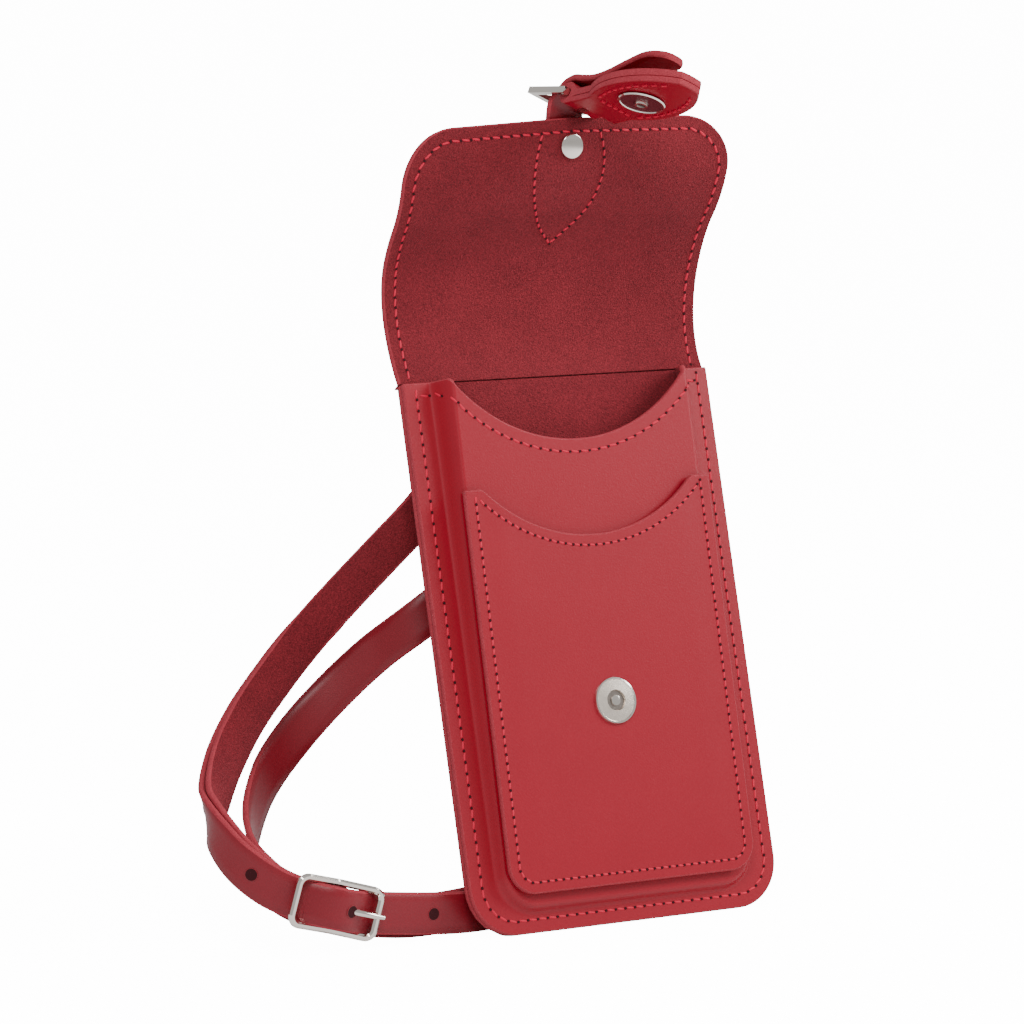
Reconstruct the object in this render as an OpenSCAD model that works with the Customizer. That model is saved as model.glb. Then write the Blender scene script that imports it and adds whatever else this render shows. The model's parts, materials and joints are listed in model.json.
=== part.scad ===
// Crossbody phone pouch in thick leather: a moulded pocket standing tilted
// back on its lower edge, an open flap with a magnetic snap closure tab on
// a small buckle, and a long buckled strap lying in a loop beside it.
// Millimetres, +Z up, front towards -Y, floor at Z = 0.

/* [Pouch] */

// Lean of the pouch back from the upright
lean = 15; // [5:1:25]

// Thickness of the leather
leather = 2; // [1.5:0.1:3]

// Width of the back panel
pouch_width = 104; // [96:1:112]

// Height of the front panel
pouch_height = 161; // [155:1:165]

// Radius of the lower corners
corner_radius = 14; // [8:1:20]

/* [Moulded front] */

// Width of the raised front
front_width = 88; // [80:1:92]

// Height of the raised front at its foot
front_rise = 3; // [2:0.5:5]

// Slope of the raised front
front_slope = 1.604; // [0.5:0.1:3]

/* [Card pocket] */

// Width of the card pocket
card_width = 83; // [70:1:84]

// Room left under the card pocket
card_room = 0.6; // [0.4:0.1:1.2]

/* [Flap] */

// Width of the flap at its free end
flap_width = 108; // [100:1:112]

/* [Snap] */

// Height of the snap above the lower edge
snap_height = 63.5; // [55:0.5:75]

// Diameter of the snap
snap_size = 14; // [12:0.5:18]

/* [Closure tab] */

// Width of the closure tab
tab_width = 24.5; // [20:0.5:28]

// Width of the closure strap
closure_strap = 12.2; // [10:0.1:13]

/* [Strap] */

// Width of the long strap
strap_width = 12.2; // [10:0.1:14]

/* [Hidden] */

$fn = 48;
eps = 0.01;

lift = 2 * leather * sin(lean);
back_y = 2 * leather * cos(lean);
thread = 0.4;
seam_inset = 3.5;
seam_pitch = 3.3;
card_pitch = 2.6;

// panels
front_left = front_width / 2;
scoop_half = 41;
scoop_depth = 20;
scoop_radius = (scoop_half * scoop_half + scoop_depth * scoop_depth) / (2 * scoop_depth);
scoop_centre = pouch_height - scoop_depth + scoop_radius;
front_foot = 5;
front_corner = 12;
card_foot = 11;
card_top = 127.5;
card_corner = 8;
card_half_scoop = 36;
card_scoop_depth = 15.2;
card_scoop_radius = (card_half_scoop * card_half_scoop + card_scoop_depth * card_scoop_depth)
    / (2 * card_scoop_depth);
card_scoop_centre = card_top - card_scoop_depth + card_scoop_radius;
card_rim = 5;

// anchors and rings
anchor_x = 27;
anchor_h = 152;
anchor_n = -7.2;
ring_wire = 1.25;
ring_half = 7.6;
ring_length = 8.5;
ring_drop = -57.3;
ring_y = anchor_h * sin(lean) - anchor_n * cos(lean) - back_y;
ring_z = anchor_h * cos(lean) + anchor_n * sin(lean) + lift;

// flap profile, two arcs that meet at a common tangent
a_start = 33;
a_mid = -37;
a_end = 8;
r_low = 50 * 180 / (PI * (a_start - a_mid));
r_high = 31 * 180 / (PI * (a_end - a_mid));
base_y = (pouch_height + 0.5) * sin(lean) + 3 * cos(lean) - back_y;
base_z = (pouch_height + 0.5) * cos(lean) - 3 * sin(lean) + lift;
low_cy = base_y - r_low * cos(a_start);
low_cz = base_z + r_low * sin(a_start);
mid_y = low_cy + r_low * cos(a_mid);
mid_z = low_cz - r_low * sin(a_mid);
high_cy = mid_y + r_high * cos(a_mid);
high_cz = mid_z - r_high * sin(a_mid);
end_y = high_cy - r_high * cos(a_end);
end_z = high_cz + r_high * sin(a_end);
flap_gap_angle = 3;
lap_angle = 0.3;
flap_corner = 16;
rivet_angle = -3.2;

// closure: heel bar of the small buckle and how it lies with the flap open
bar_x = 1.968;
bar_y = 31 - back_y;
bar_z = 238;
closure_yaw = 6;
closure_pitch = -2;
closure_roll = 24;
tab_pitch = -10;
bar_r = 1.2;
buckle_half = 7.6;
buckle_reach = 13.5;
snap_reach = 27.3;
leaf_drop = 3.2;

// long strap
bar_tilt = 1.3;
strap_step = 3;

// free run of the strap: x, y, z and the direction its width points to
out_route = [
    [-27, 55, 134, -1, 0, 0.1], [-33, 53.5, 126, -1.5, 0.1, 1], [-43, 50, 117, -0.3, 0.25, 1],
    [-53, 52, 107, 0, 0.25, 1], [-64, 56, 95, 0, 0.25, 1], [-75, 59, 83, 0, 0.25, 1],
    [-86, 58, 72, 0, 0.25, 1], [-97, 55, 61, 0, 0.3, 1], [-107, 49, 50, 0, 0.4, 1],
    [-115, 40, 40, 0, 0.4, 1], [-118, 31.5, 34.5, 0, 0.2, 1], [-116, 23.5, 26.8, 0, 0, 1],
    [-110, 18, 20.0, 0, 0, 1], [-102, 14.7, 15.6, 0, 0, 1], [-93, 12.9, 13.1, 0, 0, 1],
    [-84, 12.0, 10.6, 0, 0, 1], [-70, 11, 8.6, 0, 0, 1], [-56, 10.5, 7.1, 0, 0, 1],
    [-42, 12, 6.3, 0, 0, 1], [-24, 18, 6.3, 0, 0, 1], [-6, 24, 6.3, 0, 0, 1],
    [14, 28, 6.3, 0, 0, 1], [32, 36, 6.3, 0, 0, 1], [38, 48, 6.3, 0, 0, 1],
    [28, 58, 6.3, 0, 0, 1], [8, 56, 6.3, 0, 0, 1], [-10, 42, 6.3, 0, 0, 1],
    [-24, 29, 6.3, 0, 0, 1], [-40, 19.5, 6.5, 0, 0, 1]];
in_route = [
    [-54, 15, 6.3, 0, 0, 1], [-68, 14, 6.5, 0, 0, 1], [-82, 15.4, 8.5, 0, 0, 1],
    [-94, 19.8, 11, 0, 0, 1], [-102, 26, 15.5, 0, 0.1, 1], [-105, 36, 23, 0, 0.2, 1],
    [-100, 47, 32, 0, 0.3, 1], [-90, 57, 42.5, 0, 0.3, 1], [-78, 62, 53, 0, 0.3, 1],
    [-66, 62, 64, 0, 0.3, 1], [-54, 57, 76, 0, 0.3, 1], [-42, 49, 87, 0, 0.3, 1],
    [-22, 47, 100, 0, 0.3, 1], [2, 49, 111, 0, 0.3, 1], [22, 54, 124, -1, 0.3, 1],
    [27, 55, 134, -1, 0, 0.1]];
// index of the route point at the buckle, and of the loose end's tip
buckle_at = 14;
tip_at = 4;

function unit(v) = v / norm(v);
function curve(p, q, r, s, t) = 0.5 * (2 * q + (r - p) * t + (2 * p - 5 * q + 4 * r - s) * t * t
    + (3 * q - p - 3 * r + s) * t * t * t);
function smooth(r, n) = [for (i = [0 : len(r) - 2]) for (k = [0 : n - 1])
    curve(r[max(i - 1, 0)], r[i], r[i + 1], r[min(i + 2, len(r) - 1)], k / n), r[len(r) - 1]];
function place(p) = [p[0], p[1], p[2]];
function hint(p) = unit([p[3], p[4], p[5]]);
function along(r, i) = unit(place(r[min(i + 1, len(r) - 1)]) - place(r[max(i - 1, 0)]));
function across(r, i) = unit(hint(r[i]) - (hint(r[i]) * along(r, i)) * along(r, i));
function outward(r, i) = cross(along(r, i), across(r, i));
function shifted(r, i, d) = [for (k = [0 : 2]) (place(r[i]) + d * outward(r, i))[k],
    r[i][3], r[i][4], r[i][5]];
function ring(r, i, w, t) = [for (s = [[-1, -1], [1, -1], [1, 1], [-1, 1]])
    place(r[i]) + across(r, i) * s[0] * w / 2 + outward(r, i) * s[1] * t / 2];

module ribbon(r, w, t) {
    n = len(r);
    points = [for (i = [0 : n - 1]) each ring(r, i, w, t)];
    sides = [for (i = [0 : n - 2]) for (k = [0 : 3]) each [
        [4 * i + k, 4 * i + (k + 1) % 4, 4 * i + 4 + k],
        [4 * i + (k + 1) % 4, 4 * i + 4 + (k + 1) % 4, 4 * i + 4 + k]]];
    polyhedron(points, concat([[0, 3, 2], [0, 2, 1]], sides,
        [[4 * n - 4, 4 * n - 3, 4 * n - 2], [4 * n - 4, 4 * n - 2, 4 * n - 1]]));
}

// ---- placing ----

module pouch() {
    translate([0, -back_y, lift]) rotate([-lean, 0, 0]) children();
}

module panel(n0, n1) {
    rotate([90, 0, 0]) translate([0, 0, n0]) linear_extrude(n1 - n0) children();
}

// follows the sloping front: local z is straight out of the leather
module on_front(h, off) {
    translate([0, -front_rise - off, front_foot]) rotate([front_slope, 0, 0])
        translate([0, 0, h - front_foot]) rotate([90, 0, 0]) children();
}

module closure() {
    translate([bar_x, bar_y, bar_z]) rotate([0, 0, closure_yaw])
        rotate([closure_pitch, 0, 0]) rotate([0, closure_roll, 0]) children();
}

module tab() {
    closure() rotate([tab_pitch, 0, 0]) children();
}

// side view (along the tab, up) drawn out across it
module side(w) {
    rotate([90, 0, -90]) linear_extrude(w, center = true) children();
}

// plan (across, along the tab) drawn out between two heights
module plan(c0, c1) {
    translate([0, 0, c0]) mirror([0, 1, 0]) linear_extrude(c1 - c0) children();
}

// ---- outlines ----

module rounded(half, foot, top, r) {
    translate([-half, foot + r]) square([2 * half, top - foot - r]);
    translate([r - half, foot]) square([2 * (half - r), r + eps]);
    for (s = [-1, 1]) translate([s * (half - r), foot + r]) circle(r);
}

module lens(w, r) {
    intersection() {
        translate([r - w / 2, 0]) circle(r);
        translate([w / 2 - r, 0]) circle(r);
    }
}

// ---- seams ----

module stitch(p) {
    translate([-p * 0.28, -0.35, 0]) cube([p * 0.56, 0.7, thread]);
}

module row(x0, y0, x1, y1, p) {
    n = max(1, round(norm([x1 - x0, y1 - y0]) / p));
    for (i = [0 : n - 1])
        translate([x0 + (x1 - x0) * (i + 0.5) / n, y0 + (y1 - y0) * (i + 0.5) / n, 0])
            rotate([0, 0, atan2(y1 - y0, x1 - x0)]) stitch(p);
}

module arc_row(cx, cy, r, a0, a1, p) {
    n = max(1, round(abs(a1 - a0) * PI / 180 * r / p));
    for (i = [0 : n - 1]) {
        a = a0 + (a1 - a0) * (i + 0.5) / n;
        translate([cx + r * cos(a), cy + r * sin(a), 0]) rotate([0, 0, a + 90]) stitch(p);
    }
}

// ---- pocket ----

module back_panel() color("#a62a35")
    pouch() difference() {
        panel(-2 * leather, -leather)
            rounded(pouch_width / 2, 0, pouch_height + 0.5, corner_radius);
        for (s = [-1, 1]) translate([s * anchor_x, 0, 137]) rotate([90, 0, 0])
            translate([0, 0, -9]) cylinder(r = 1.4, h = 12);
    }

module under_front(off) {
    translate([0, -front_rise - off, front_foot]) rotate([front_slope, 0, 0])
        translate([-60, 0, -10]) cube([120, 40, 190]);
}

module front_panel() color("#aa2c30")
    pouch() difference() {
        union() {
            panel(-leather, 0) rounded(pouch_width / 2, 0, pouch_height, corner_radius);
            intersection() {
                panel(-leather, 20) rounded(front_left, front_foot, pouch_height, front_corner);
                under_front(0);
            }
        }
        intersection() {
            panel(-leather - eps, 20)
                rounded(front_left - leather, front_foot + leather, pouch_height + 5,
                    front_corner - leather);
            under_front(-leather);
        }
        panel(-3, 20) translate([0, scoop_centre]) circle(scoop_radius, $fn = 96);
    }

module card_shape(half) {
    difference() {
        rounded(half, card_foot, card_top, card_corner);
        translate([0, card_scoop_centre]) circle(card_scoop_radius, $fn = 96);
    }
}

module card_backing() color("#8c2028")
    pouch() on_front(0, 0) linear_extrude(card_room) difference() {
        card_shape(card_width / 2 + 0.6);
        rounded(card_width / 2 - card_rim, card_foot + card_rim, card_top + 1,
            card_corner - 4);
    }

module card_pocket() color("#aa2c30")
    pouch() on_front(0, card_room) difference() {
        linear_extrude(leather) card_shape(card_width / 2);
        translate([0, snap_height, -1]) cylinder(r = 2.1, h = 4);
    }

module snap_socket() color("#b9a79c")
    pouch() on_front(snap_height, card_room + leather) {
        difference() {
            cylinder(d = snap_size, h = 1.3);
            translate([0, 0, 1.05]) cylinder(d = snap_size - 1.6, h = 1);
            translate([0, 0, 0.3]) cylinder(d = 5.4, h = 2);
        }
        translate([0, 0, 0.2]) cylinder(d = 2.6, h = 0.5);
        translate([0, 0, 0.1 - leather - card_room]) cylinder(r = 1.9, h = leather + card_room);
    }

module snap_washer() color("#b9a79c")
    pouch() on_front(snap_height, 0.1) difference() {
        cylinder(d = 11, h = card_room - 0.15);
        translate([0, 0, -1]) cylinder(r = 2, h = 3);
    }

module pocket_stitching() color("#d8283f")
    pouch() rotate([90, 0, 0]) {
        edge = pouch_width / 2 - seam_inset;
        bend = corner_radius - seam_inset;
        foot = corner_radius;
        far = scoop_radius + seam_inset;
        swing = acos((scoop_centre - pouch_height + seam_inset) / far);
        for (s = [-1, 1]) row(s * edge, foot, s * edge, pouch_height - seam_inset, seam_pitch);
        row(-edge + bend, seam_inset, edge - bend, seam_inset, seam_pitch);
        arc_row(-edge + bend, foot, bend, 180, 270, seam_pitch);
        arc_row(edge - bend, foot, bend, 270, 360, seam_pitch);
        for (s = [-1, 1]) row(s * (edge - 1.5), pouch_height - seam_inset,
            s * (front_left + 0.6), pouch_height - seam_inset, seam_pitch);
        for (i = [-13 : 13]) {
            a = i * swing / 13.5;
            x = far * sin(a);
            h = scoop_centre - far * cos(a);
            translate([x, h, front_rise + (h - front_foot) * tan(front_slope) + 0.02])
                rotate([-front_slope, 0, 0]) rotate([0, 0, a]) stitch(seam_pitch);
        }
    }

module card_stitching() color("#d8283f")
    pouch() on_front(0, card_room + leather) {
        edge = card_width / 2 - 2.8;
        bend = card_corner - 2.8;
        foot = card_foot + card_corner;
        far = card_scoop_radius + 2.8;
        swing = acos((card_scoop_centre - card_top + 2.8) / far);
        for (s = [-1, 1]) row(s * edge, foot, s * edge, card_top - 2.8, card_pitch);
        row(-edge + bend, card_foot + 2.8, edge - bend, card_foot + 2.8, card_pitch);
        arc_row(-edge + bend, foot, bend, 180, 270, card_pitch);
        arc_row(edge - bend, foot, bend, 270, 360, card_pitch);
        arc_row(0, card_scoop_centre, far, 270 - swing, 270 + swing, card_pitch);
    }

// ---- strap anchors ----

module anchor() {
    pouch() difference() {
        union() {
            translate([-6.1, 2 * leather, 128]) cube([12.2, 2 * leather, 22.5]);
            translate([-6.1, -anchor_n, anchor_h]) rotate([0, 90, 0]) cylinder(r = 3.2, h = 12.2);
        }
        translate([-8, -anchor_n, anchor_h]) rotate([0, 90, 0]) cylinder(r = 1.45, h = 16);
        translate([0, 3, 137]) rotate([-90, 0, 0]) cylinder(r = 1.4, h = 8);
    }
}

module anchor_left() color("#8f2430")
    translate([-anchor_x, 0, 0]) anchor();

module anchor_right() color("#8f2430")
    translate([anchor_x, 0, 0]) anchor();

module anchor_rivets() color("#c7b8ae")
    for (s = [-1, 1]) pouch() translate([s * anchor_x, 0, 137]) rotate([-90, 0, 0]) {
        translate([0, 0, leather - 0.9]) cylinder(r = 3.4, h = 0.9);
        translate([0, 0, leather - 0.2]) cylinder(r = 1.25, h = 3 * leather + 0.4);
        translate([0, 0, 4 * leather]) cylinder(r = 4, h = 1.2);
    }

// ---- flap ----

module bent(r, inner, outer, a0, a1) {
    intersection() {
        difference() {
            circle(r + outer, $fn = 120);
            circle(r + inner, $fn = 120);
        }
        polygon([[0, 0], for (k = [0 : 4]) 2 * r
            * [cos(a0 + (a1 - a0) * k / 4), sin(a0 + (a1 - a0) * k / 4)]]);
    }
}

// inner and outer are heights above the middle of the leather on the front face
module flap_arc(inner, outer, low, high) {
    rotate([90, 0, 90]) linear_extrude(130, center = true) {
        if (low) translate([low_cy, low_cz])
            bent(r_low, -outer, -inner, flap_gap_angle - a_start, lap_angle - a_mid);
        if (high) translate([high_cy, high_cz])
            bent(r_high, inner, outer, 180 - a_mid + lap_angle, 180 - a_end);
    }
}

module flap_outline() {
    r = flap_corner;
    half = flap_width / 2;
    rotate([90, 0, 0]) linear_extrude(180, center = true) {
        polygon([[-half + 2, 140], [half - 2, 140], [half, end_z - r], [-half, end_z - r]]);
        translate([r - half, end_z - r - 1]) square([flap_width - 2 * r, r + 2]);
        for (s = [-1, 1]) translate([s * (half - r), end_z - r]) circle(r + 0.3);
    }
}

module flap() color("#8e2a31")
    difference() {
        intersection() {
            flap_arc(-leather / 2, leather / 2, true, true);
            flap_outline();
        }
        on_flap_high(rivet_angle) translate([0, 0, -8]) cylinder(r = 1.4, h = 12);
    }

// stands a piece on the flap's front face, u along the profile from the bend
module on_flap_high(a) {
    translate([0, high_cy, high_cz])
        rotate([-a, 0, 0]) translate([0, -r_high - leather / 2, 0]) rotate([90, 0, 0]) children();
}

module on_flap_low(a) {
    translate([0, low_cy, low_cz])
        rotate([-a, 0, 0]) translate([0, r_low - leather / 2, 0]) rotate([90, 0, 0]) children();
}

module flap_stitching() color("#d8283f") {
    for (s = [-1, 1]) {
        for (i = [0 : 13]) on_flap_low(a_start - flap_gap_angle - 2 - i * 4.62)
            translate([s * (48.7 + i * 0.07), 0, 0]) rotate([0, 0, 90]) stitch(seam_pitch);
        for (i = [0 : 3]) on_flap_high(a_mid + 2.4 + i * 4.8)
            translate([s * (49.8 + i * 0.1), 0, 0]) rotate([0, 0, 90]) stitch(seam_pitch);
        for (i = [0 : 4]) {
            b = 9 + i * 18;
            on_flap_high(a_end - atan((seam_inset + 12.5 * (1 - sin(b))) / r_high))
                translate([s * (38 + 12.5 * cos(b)), 0, 0]) rotate([0, 0, s * (90 + b)])
                    stitch(seam_pitch);
        }
    }
    on_flap_high(a_end - atan(seam_inset / r_high)) row(-38, 0, 38, 0, seam_pitch);
}

// ---- closure ----

module patch_shape(grow) {
    rotate([90, 0, 0]) linear_extrude(180, center = true) {
        intersection() {
            translate([0, 225]) lens(26.5 + 2 * grow, 34 + grow);
            translate([-20, 180]) square([40, 229 - 180]);
        }
        translate([-closure_strap / 2, 225]) square([closure_strap, 20]);
    }
}

module closure_patch() color("#9e2a35")
    difference() {
        intersection() {
            flap_arc(-1.5 * leather, -leather / 2 - 0.02, false, true);
            patch_shape(0);
        }
        on_flap_high(rivet_angle) translate([0, 0, -8]) cylinder(r = 1.4, h = 12);
    }

module patch_stitching() color("#d8283f")
    for (s = [-1, 1]) for (i = [0 : 9]) {
        up = 3.4 + i * 3.1;
        z = 228.5 - up;
        x = sqrt(33 * 33 - (z - 225) * (z - 225)) - 33 + 10.6;
        if (x > 0.6) on_flap_high(asin((z - high_cz) / r_high))
            translate([s * x, 0, 0]) rotate([0, 0, 90 - s * asin((225 - z) / 33)]) stitch(2.6);
    }

module closure_rivet() color("#c7b8ae")
    on_flap_high(rivet_angle) {
        translate([0, 0, 0.1]) cylinder(r = 3.7, h = 0.8);
        translate([0, 0, -4.6]) cylinder(r = 1.25, h = 4.9);
        translate([0, 0, -2 * leather - 1.1]) cylinder(r = 3.4, h = 0.8);
    }

module closure_buckle() color("#c4b4a8")
    closure() {
        rotate([0, 90, 0]) cylinder(r = bar_r, h = 2 * buckle_half, center = true);
        for (s = [-1, 1]) translate([s * buckle_half - 0.9, -bar_r, -1])
            cube([1.8, buckle_reach + bar_r, 2]);
        translate([-buckle_half - 0.9, buckle_reach - 0.4, -1]) cube([2 * buckle_half + 1.8, 2.8, 2]);
    }

// strap from the flap up through the frame, over the bar and on above the tab
tongue_route = [[-7.3, -2.3], [-5.6, 0.2], [-3.4, 3.4], [0, 4.8], [4, 4.6], [9, 4.6],
    [15, 6], [22, 8.4], [29, 10], [37, 10.2]];
function flat(v) = [-v[1], v[0]] / norm(v);
function edge_of(r, d) = [for (i = [0 : len(r) - 1])
    r[i] + d * flat(r[min(i + 1, len(r) - 1)] - r[max(i - 1, 0)])];
function back(r) = [for (i = [len(r) - 1 : -1 : 0]) r[i]];

module closure_tongue() color("#a83440")
    closure() difference() {
        fine = smooth(tongue_route, 3);
        side(closure_strap) polygon(concat(edge_of(fine, leather / 2),
            back(edge_of(fine, -leather / 2))));
        translate([-1.6, 1, -1.2]) cube([3.2, 6, 4.9]);
        for (s = [-1, 1]) translate([s * closure_strap / 2, -37.5, 0]) rotate([0, 0, 45])
            cube([6, 6, 40], center = true);
    }

module closure_prong() color("#cdbdb1")
    closure() {
        difference() {
            rotate([0, 90, 0]) cylinder(r = 2.2, h = 2, center = true);
            rotate([0, 90, 0]) cylinder(r = bar_r + 0.15, h = 6, center = true);
        }
        translate([0, 1.75, 1.1]) rotate([-85, 0, 0]) cylinder(r = 0.8, h = 13.4);
    }

module tab_leaf(grow) {
    intersection() {
        translate([0, snap_reach]) lens(tab_width + 2 * grow, 28 + grow);
        translate([0, snap_reach]) circle(20.5 + grow);
    }
    difference() {
        translate([-8.5 - grow, 3.6]) square([17 + 2 * grow, 15]);
        translate([-20, 0]) square([40, 3.6 - grow]);
    }
}

module tab_outer() color("#a83440")
    tab() difference() {
        union() {
            plan(-leaf_drop, -leaf_drop + leather) difference() {
                tab_leaf(0);
                translate([-20, 0]) square([40, 6]);
            }
            side(closure_strap) {
                circle(3.3);
                polygon([[0, 3.3], [0, -3.3], [7, -leaf_drop], [7, -leaf_drop + leather]]);
            }
        }
        rotate([0, 90, 0]) cylinder(r = bar_r + 0.15, h = 30, center = true);
        translate([-1.4, -2.6, -5]) cube([2.8, 8, 10]);
    }

module tab_lining() color("#b04a52")
    tab() difference() {
        plan(-leaf_drop - leather, -leaf_drop) difference() {
            tab_leaf(0);
            translate([-20, 0]) square([40, 6]);
        }
        translate([0, -snap_reach, -6]) cylinder(r = 2.1, h = 4);
    }

module tab_stitching() color("#d8283f")
    tab() translate([0, 0, -leaf_drop - leather]) mirror([0, 1, 0]) mirror([0, 0, 1]) {
        row(-6, 15.8, 6, 15.8, card_pitch);
        for (s = [-1, 1]) for (i = [0 : 9]) {
            a = 18 + i * 2.7;
            x = sqrt(28 * 28 - (a - snap_reach) * (a - snap_reach)) - 28 + tab_width / 2 - 2.8;
            translate([s * x, a, 0]) rotate([0, 0, 90 + s * asin((a - snap_reach) / 28)])
                stitch(card_pitch);
        }
    }

module snap_stud() color("#b9a79c")
    tab() translate([0, -snap_reach, -leaf_drop - leather - 1.2]) {
        difference() {
            cylinder(d = snap_size, h = 1.2);
            translate([0, 0, -1]) cylinder(d = snap_size - 1.6, h = 1.25);
        }
        translate([-1.9, -1.3, -0.3]) cube([3.8, 2.6, 0.8]);
        cylinder(r = 1.9, h = 2.6);
    }

// ---- long strap ----

module ring_frame() {
    rotate([0, 90, 0]) cylinder(r = ring_wire, h = 2 * ring_half, center = true);
    translate([0, ring_length, 0]) rotate([0, 90, 0])
        cylinder(r = ring_wire, h = 2 * ring_half, center = true);
    for (s = [-1, 1]) translate([s * ring_half, 0, 0]) {
        rotate([-90, 0, 0]) cylinder(r = ring_wire, h = ring_length);
        sphere(ring_wire);
        translate([0, ring_length, 0]) sphere(ring_wire);
    }
}

module at_ring(s) {
    translate([s * anchor_x, ring_y, ring_z]) rotate([ring_drop, 0, 0]) children();
}

module ring_left() color("#c4b4a8")
    at_ring(-1) ring_frame();

module ring_right() color("#c4b4a8")
    at_ring(1) ring_frame();

// the end of a strap turned round the far bar of its ring
wrap_r = 2.5;
function turned(s, k) = let (a = 215 - k * 30,
    u = ring_length - wrap_r * sin(a - 90 + 90),
    v = wrap_r * cos(a))
    [s * anchor_x, ring_y + u * cos(ring_drop) - v * sin(ring_drop),
     ring_z + u * sin(ring_drop) + v * cos(ring_drop), -1, 0, 0];
function wrap(s) = [for (k = [0 : 7]) turned(s, k)];

function set(r) = [for (p = r) [p[0], p[1] - back_y, p[2], p[3], p[4], p[5]]];
out_fine = smooth(concat(wrap(-1), set(out_route)), strap_step);
lead = 8 * strap_step;
at_bar = lead + buckle_at * strap_step;

// how far the outer layer stands off the inner one, by steps from the bar
function bulge(d) = abs(d) >= 4 ? (d < 0 ? 2.4 : max(0, 2.2 - 0.45 * (d - 4)))
    : 2.4 + 4.8 * pow(cos(d * 22.5), 2);

module strap_tongue() color("#8a2430") {
    tail = [for (i = [lead + tip_at * strap_step : at_bar + 18])
        shifted(out_fine, i, bulge(i - at_bar))];
    rest = [for (i = [buckle_at + 7 : len(out_route) - 1]) out_route[i]];
    loop = smooth(concat(set(rest), set(in_route), back(wrap(1))), strap_step);
    difference() {
        ribbon(concat(tail, loop), strap_width, leather);
        at_buckle() translate([2.4, -1.6, 0]) cube([8, 3.2, 8]);
    }
}

module strap_buckle_end() color("#962833")
    difference() {
        ribbon([for (i = [0 : at_bar - 1]) out_fine[i]], strap_width, leather);
        at_buckle() cube([8, 3, 12], center = true);
    }

bar_point = place(out_fine[at_bar]) + 2.4 * outward(out_fine, at_bar);
bar_along = along(out_fine, at_bar);
bar_up = across(out_fine, at_bar);
bar_out = outward(out_fine, at_bar);

module at_buckle() {
    multmatrix([[bar_along[0], bar_up[0], bar_out[0], bar_point[0]],
        [bar_along[1], bar_up[1], bar_out[1], bar_point[1]],
        [bar_along[2], bar_up[2], bar_out[2], bar_point[2]], [0, 0, 0, 1]]) children();
}

module strap_buckle() color("#cdbdb1")
    at_buckle() {
        rotate([90, 0, 0]) cylinder(r = bar_tilt, h = 14, center = true);
        for (s = [-1, 1]) {
            translate([s * 13.5 - 1.5, -7.9, 1.5]) cube([3, 15.8, 2]);
            translate([0, s * 7.2, 0]) rotate([90, 0, 0]) linear_extrude(1.4, center = true)
                polygon([[-15, 1.5], [-15, 3.5], [0, 1.3], [15, 3.5], [15, 1.5], [0, -1.3]]);
        }
    }

module strap_prong() color("#d6c8bd")
    at_buckle() difference() {
        union() {
            rotate([90, 0, 0]) cylinder(r = 2.3, h = 2.2, center = true);
            translate([1.2, 0, 1.2]) rotate([0, 71.5, 0]) cylinder(r = 0.85, h = 14);
        }
        rotate([90, 0, 0]) cylinder(r = bar_tilt + 0.15, h = 8, center = true);
    }

back_panel();
front_panel();
card_backing();
card_pocket();
snap_socket();
snap_washer();
pocket_stitching();
card_stitching();
anchor_left();
anchor_right();
anchor_rivets();
flap();
flap_stitching();
closure_patch();
patch_stitching();
closure_rivet();
closure_buckle();
closure_tongue();
closure_prong();
tab_outer();
tab_lining();
tab_stitching();
snap_stud();
ring_left();
ring_right();
strap_tongue();
strap_buckle_end();
strap_buckle();
strap_prong();
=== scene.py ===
import json
import logging
import math
from collections.abc import Callable, Sequence
from dataclasses import dataclass, field
from enum import Enum

import bpy
import numpy as np
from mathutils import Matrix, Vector


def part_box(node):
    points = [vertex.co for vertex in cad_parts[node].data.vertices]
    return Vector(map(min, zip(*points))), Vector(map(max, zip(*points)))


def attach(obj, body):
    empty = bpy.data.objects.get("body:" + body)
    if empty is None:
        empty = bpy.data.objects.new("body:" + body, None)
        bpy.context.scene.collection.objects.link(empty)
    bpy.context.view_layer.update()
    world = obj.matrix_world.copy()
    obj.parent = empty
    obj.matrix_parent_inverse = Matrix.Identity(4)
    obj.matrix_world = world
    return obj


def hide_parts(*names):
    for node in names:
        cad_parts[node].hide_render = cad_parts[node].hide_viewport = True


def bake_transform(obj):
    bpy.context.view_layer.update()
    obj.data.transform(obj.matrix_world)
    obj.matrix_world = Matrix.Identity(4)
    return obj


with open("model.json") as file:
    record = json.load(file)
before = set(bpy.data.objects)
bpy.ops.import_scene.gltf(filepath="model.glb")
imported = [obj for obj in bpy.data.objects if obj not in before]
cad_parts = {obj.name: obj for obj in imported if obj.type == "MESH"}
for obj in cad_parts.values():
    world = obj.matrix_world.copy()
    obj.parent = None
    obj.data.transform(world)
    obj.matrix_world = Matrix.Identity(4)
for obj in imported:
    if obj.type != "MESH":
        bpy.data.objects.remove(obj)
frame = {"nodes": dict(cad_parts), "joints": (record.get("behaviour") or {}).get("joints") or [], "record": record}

log = logging.getLogger("phone_pouch")
logging.basicConfig(level=logging.INFO, format="%(message)s")

MM = 0.001


class Face(Enum):
    """Which side of a sheet of leather a polygon belongs to."""

    GRAIN = 0
    FLESH = 1
    EDGE = 2


# ---------------------------------------------------------------- shading


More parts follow.
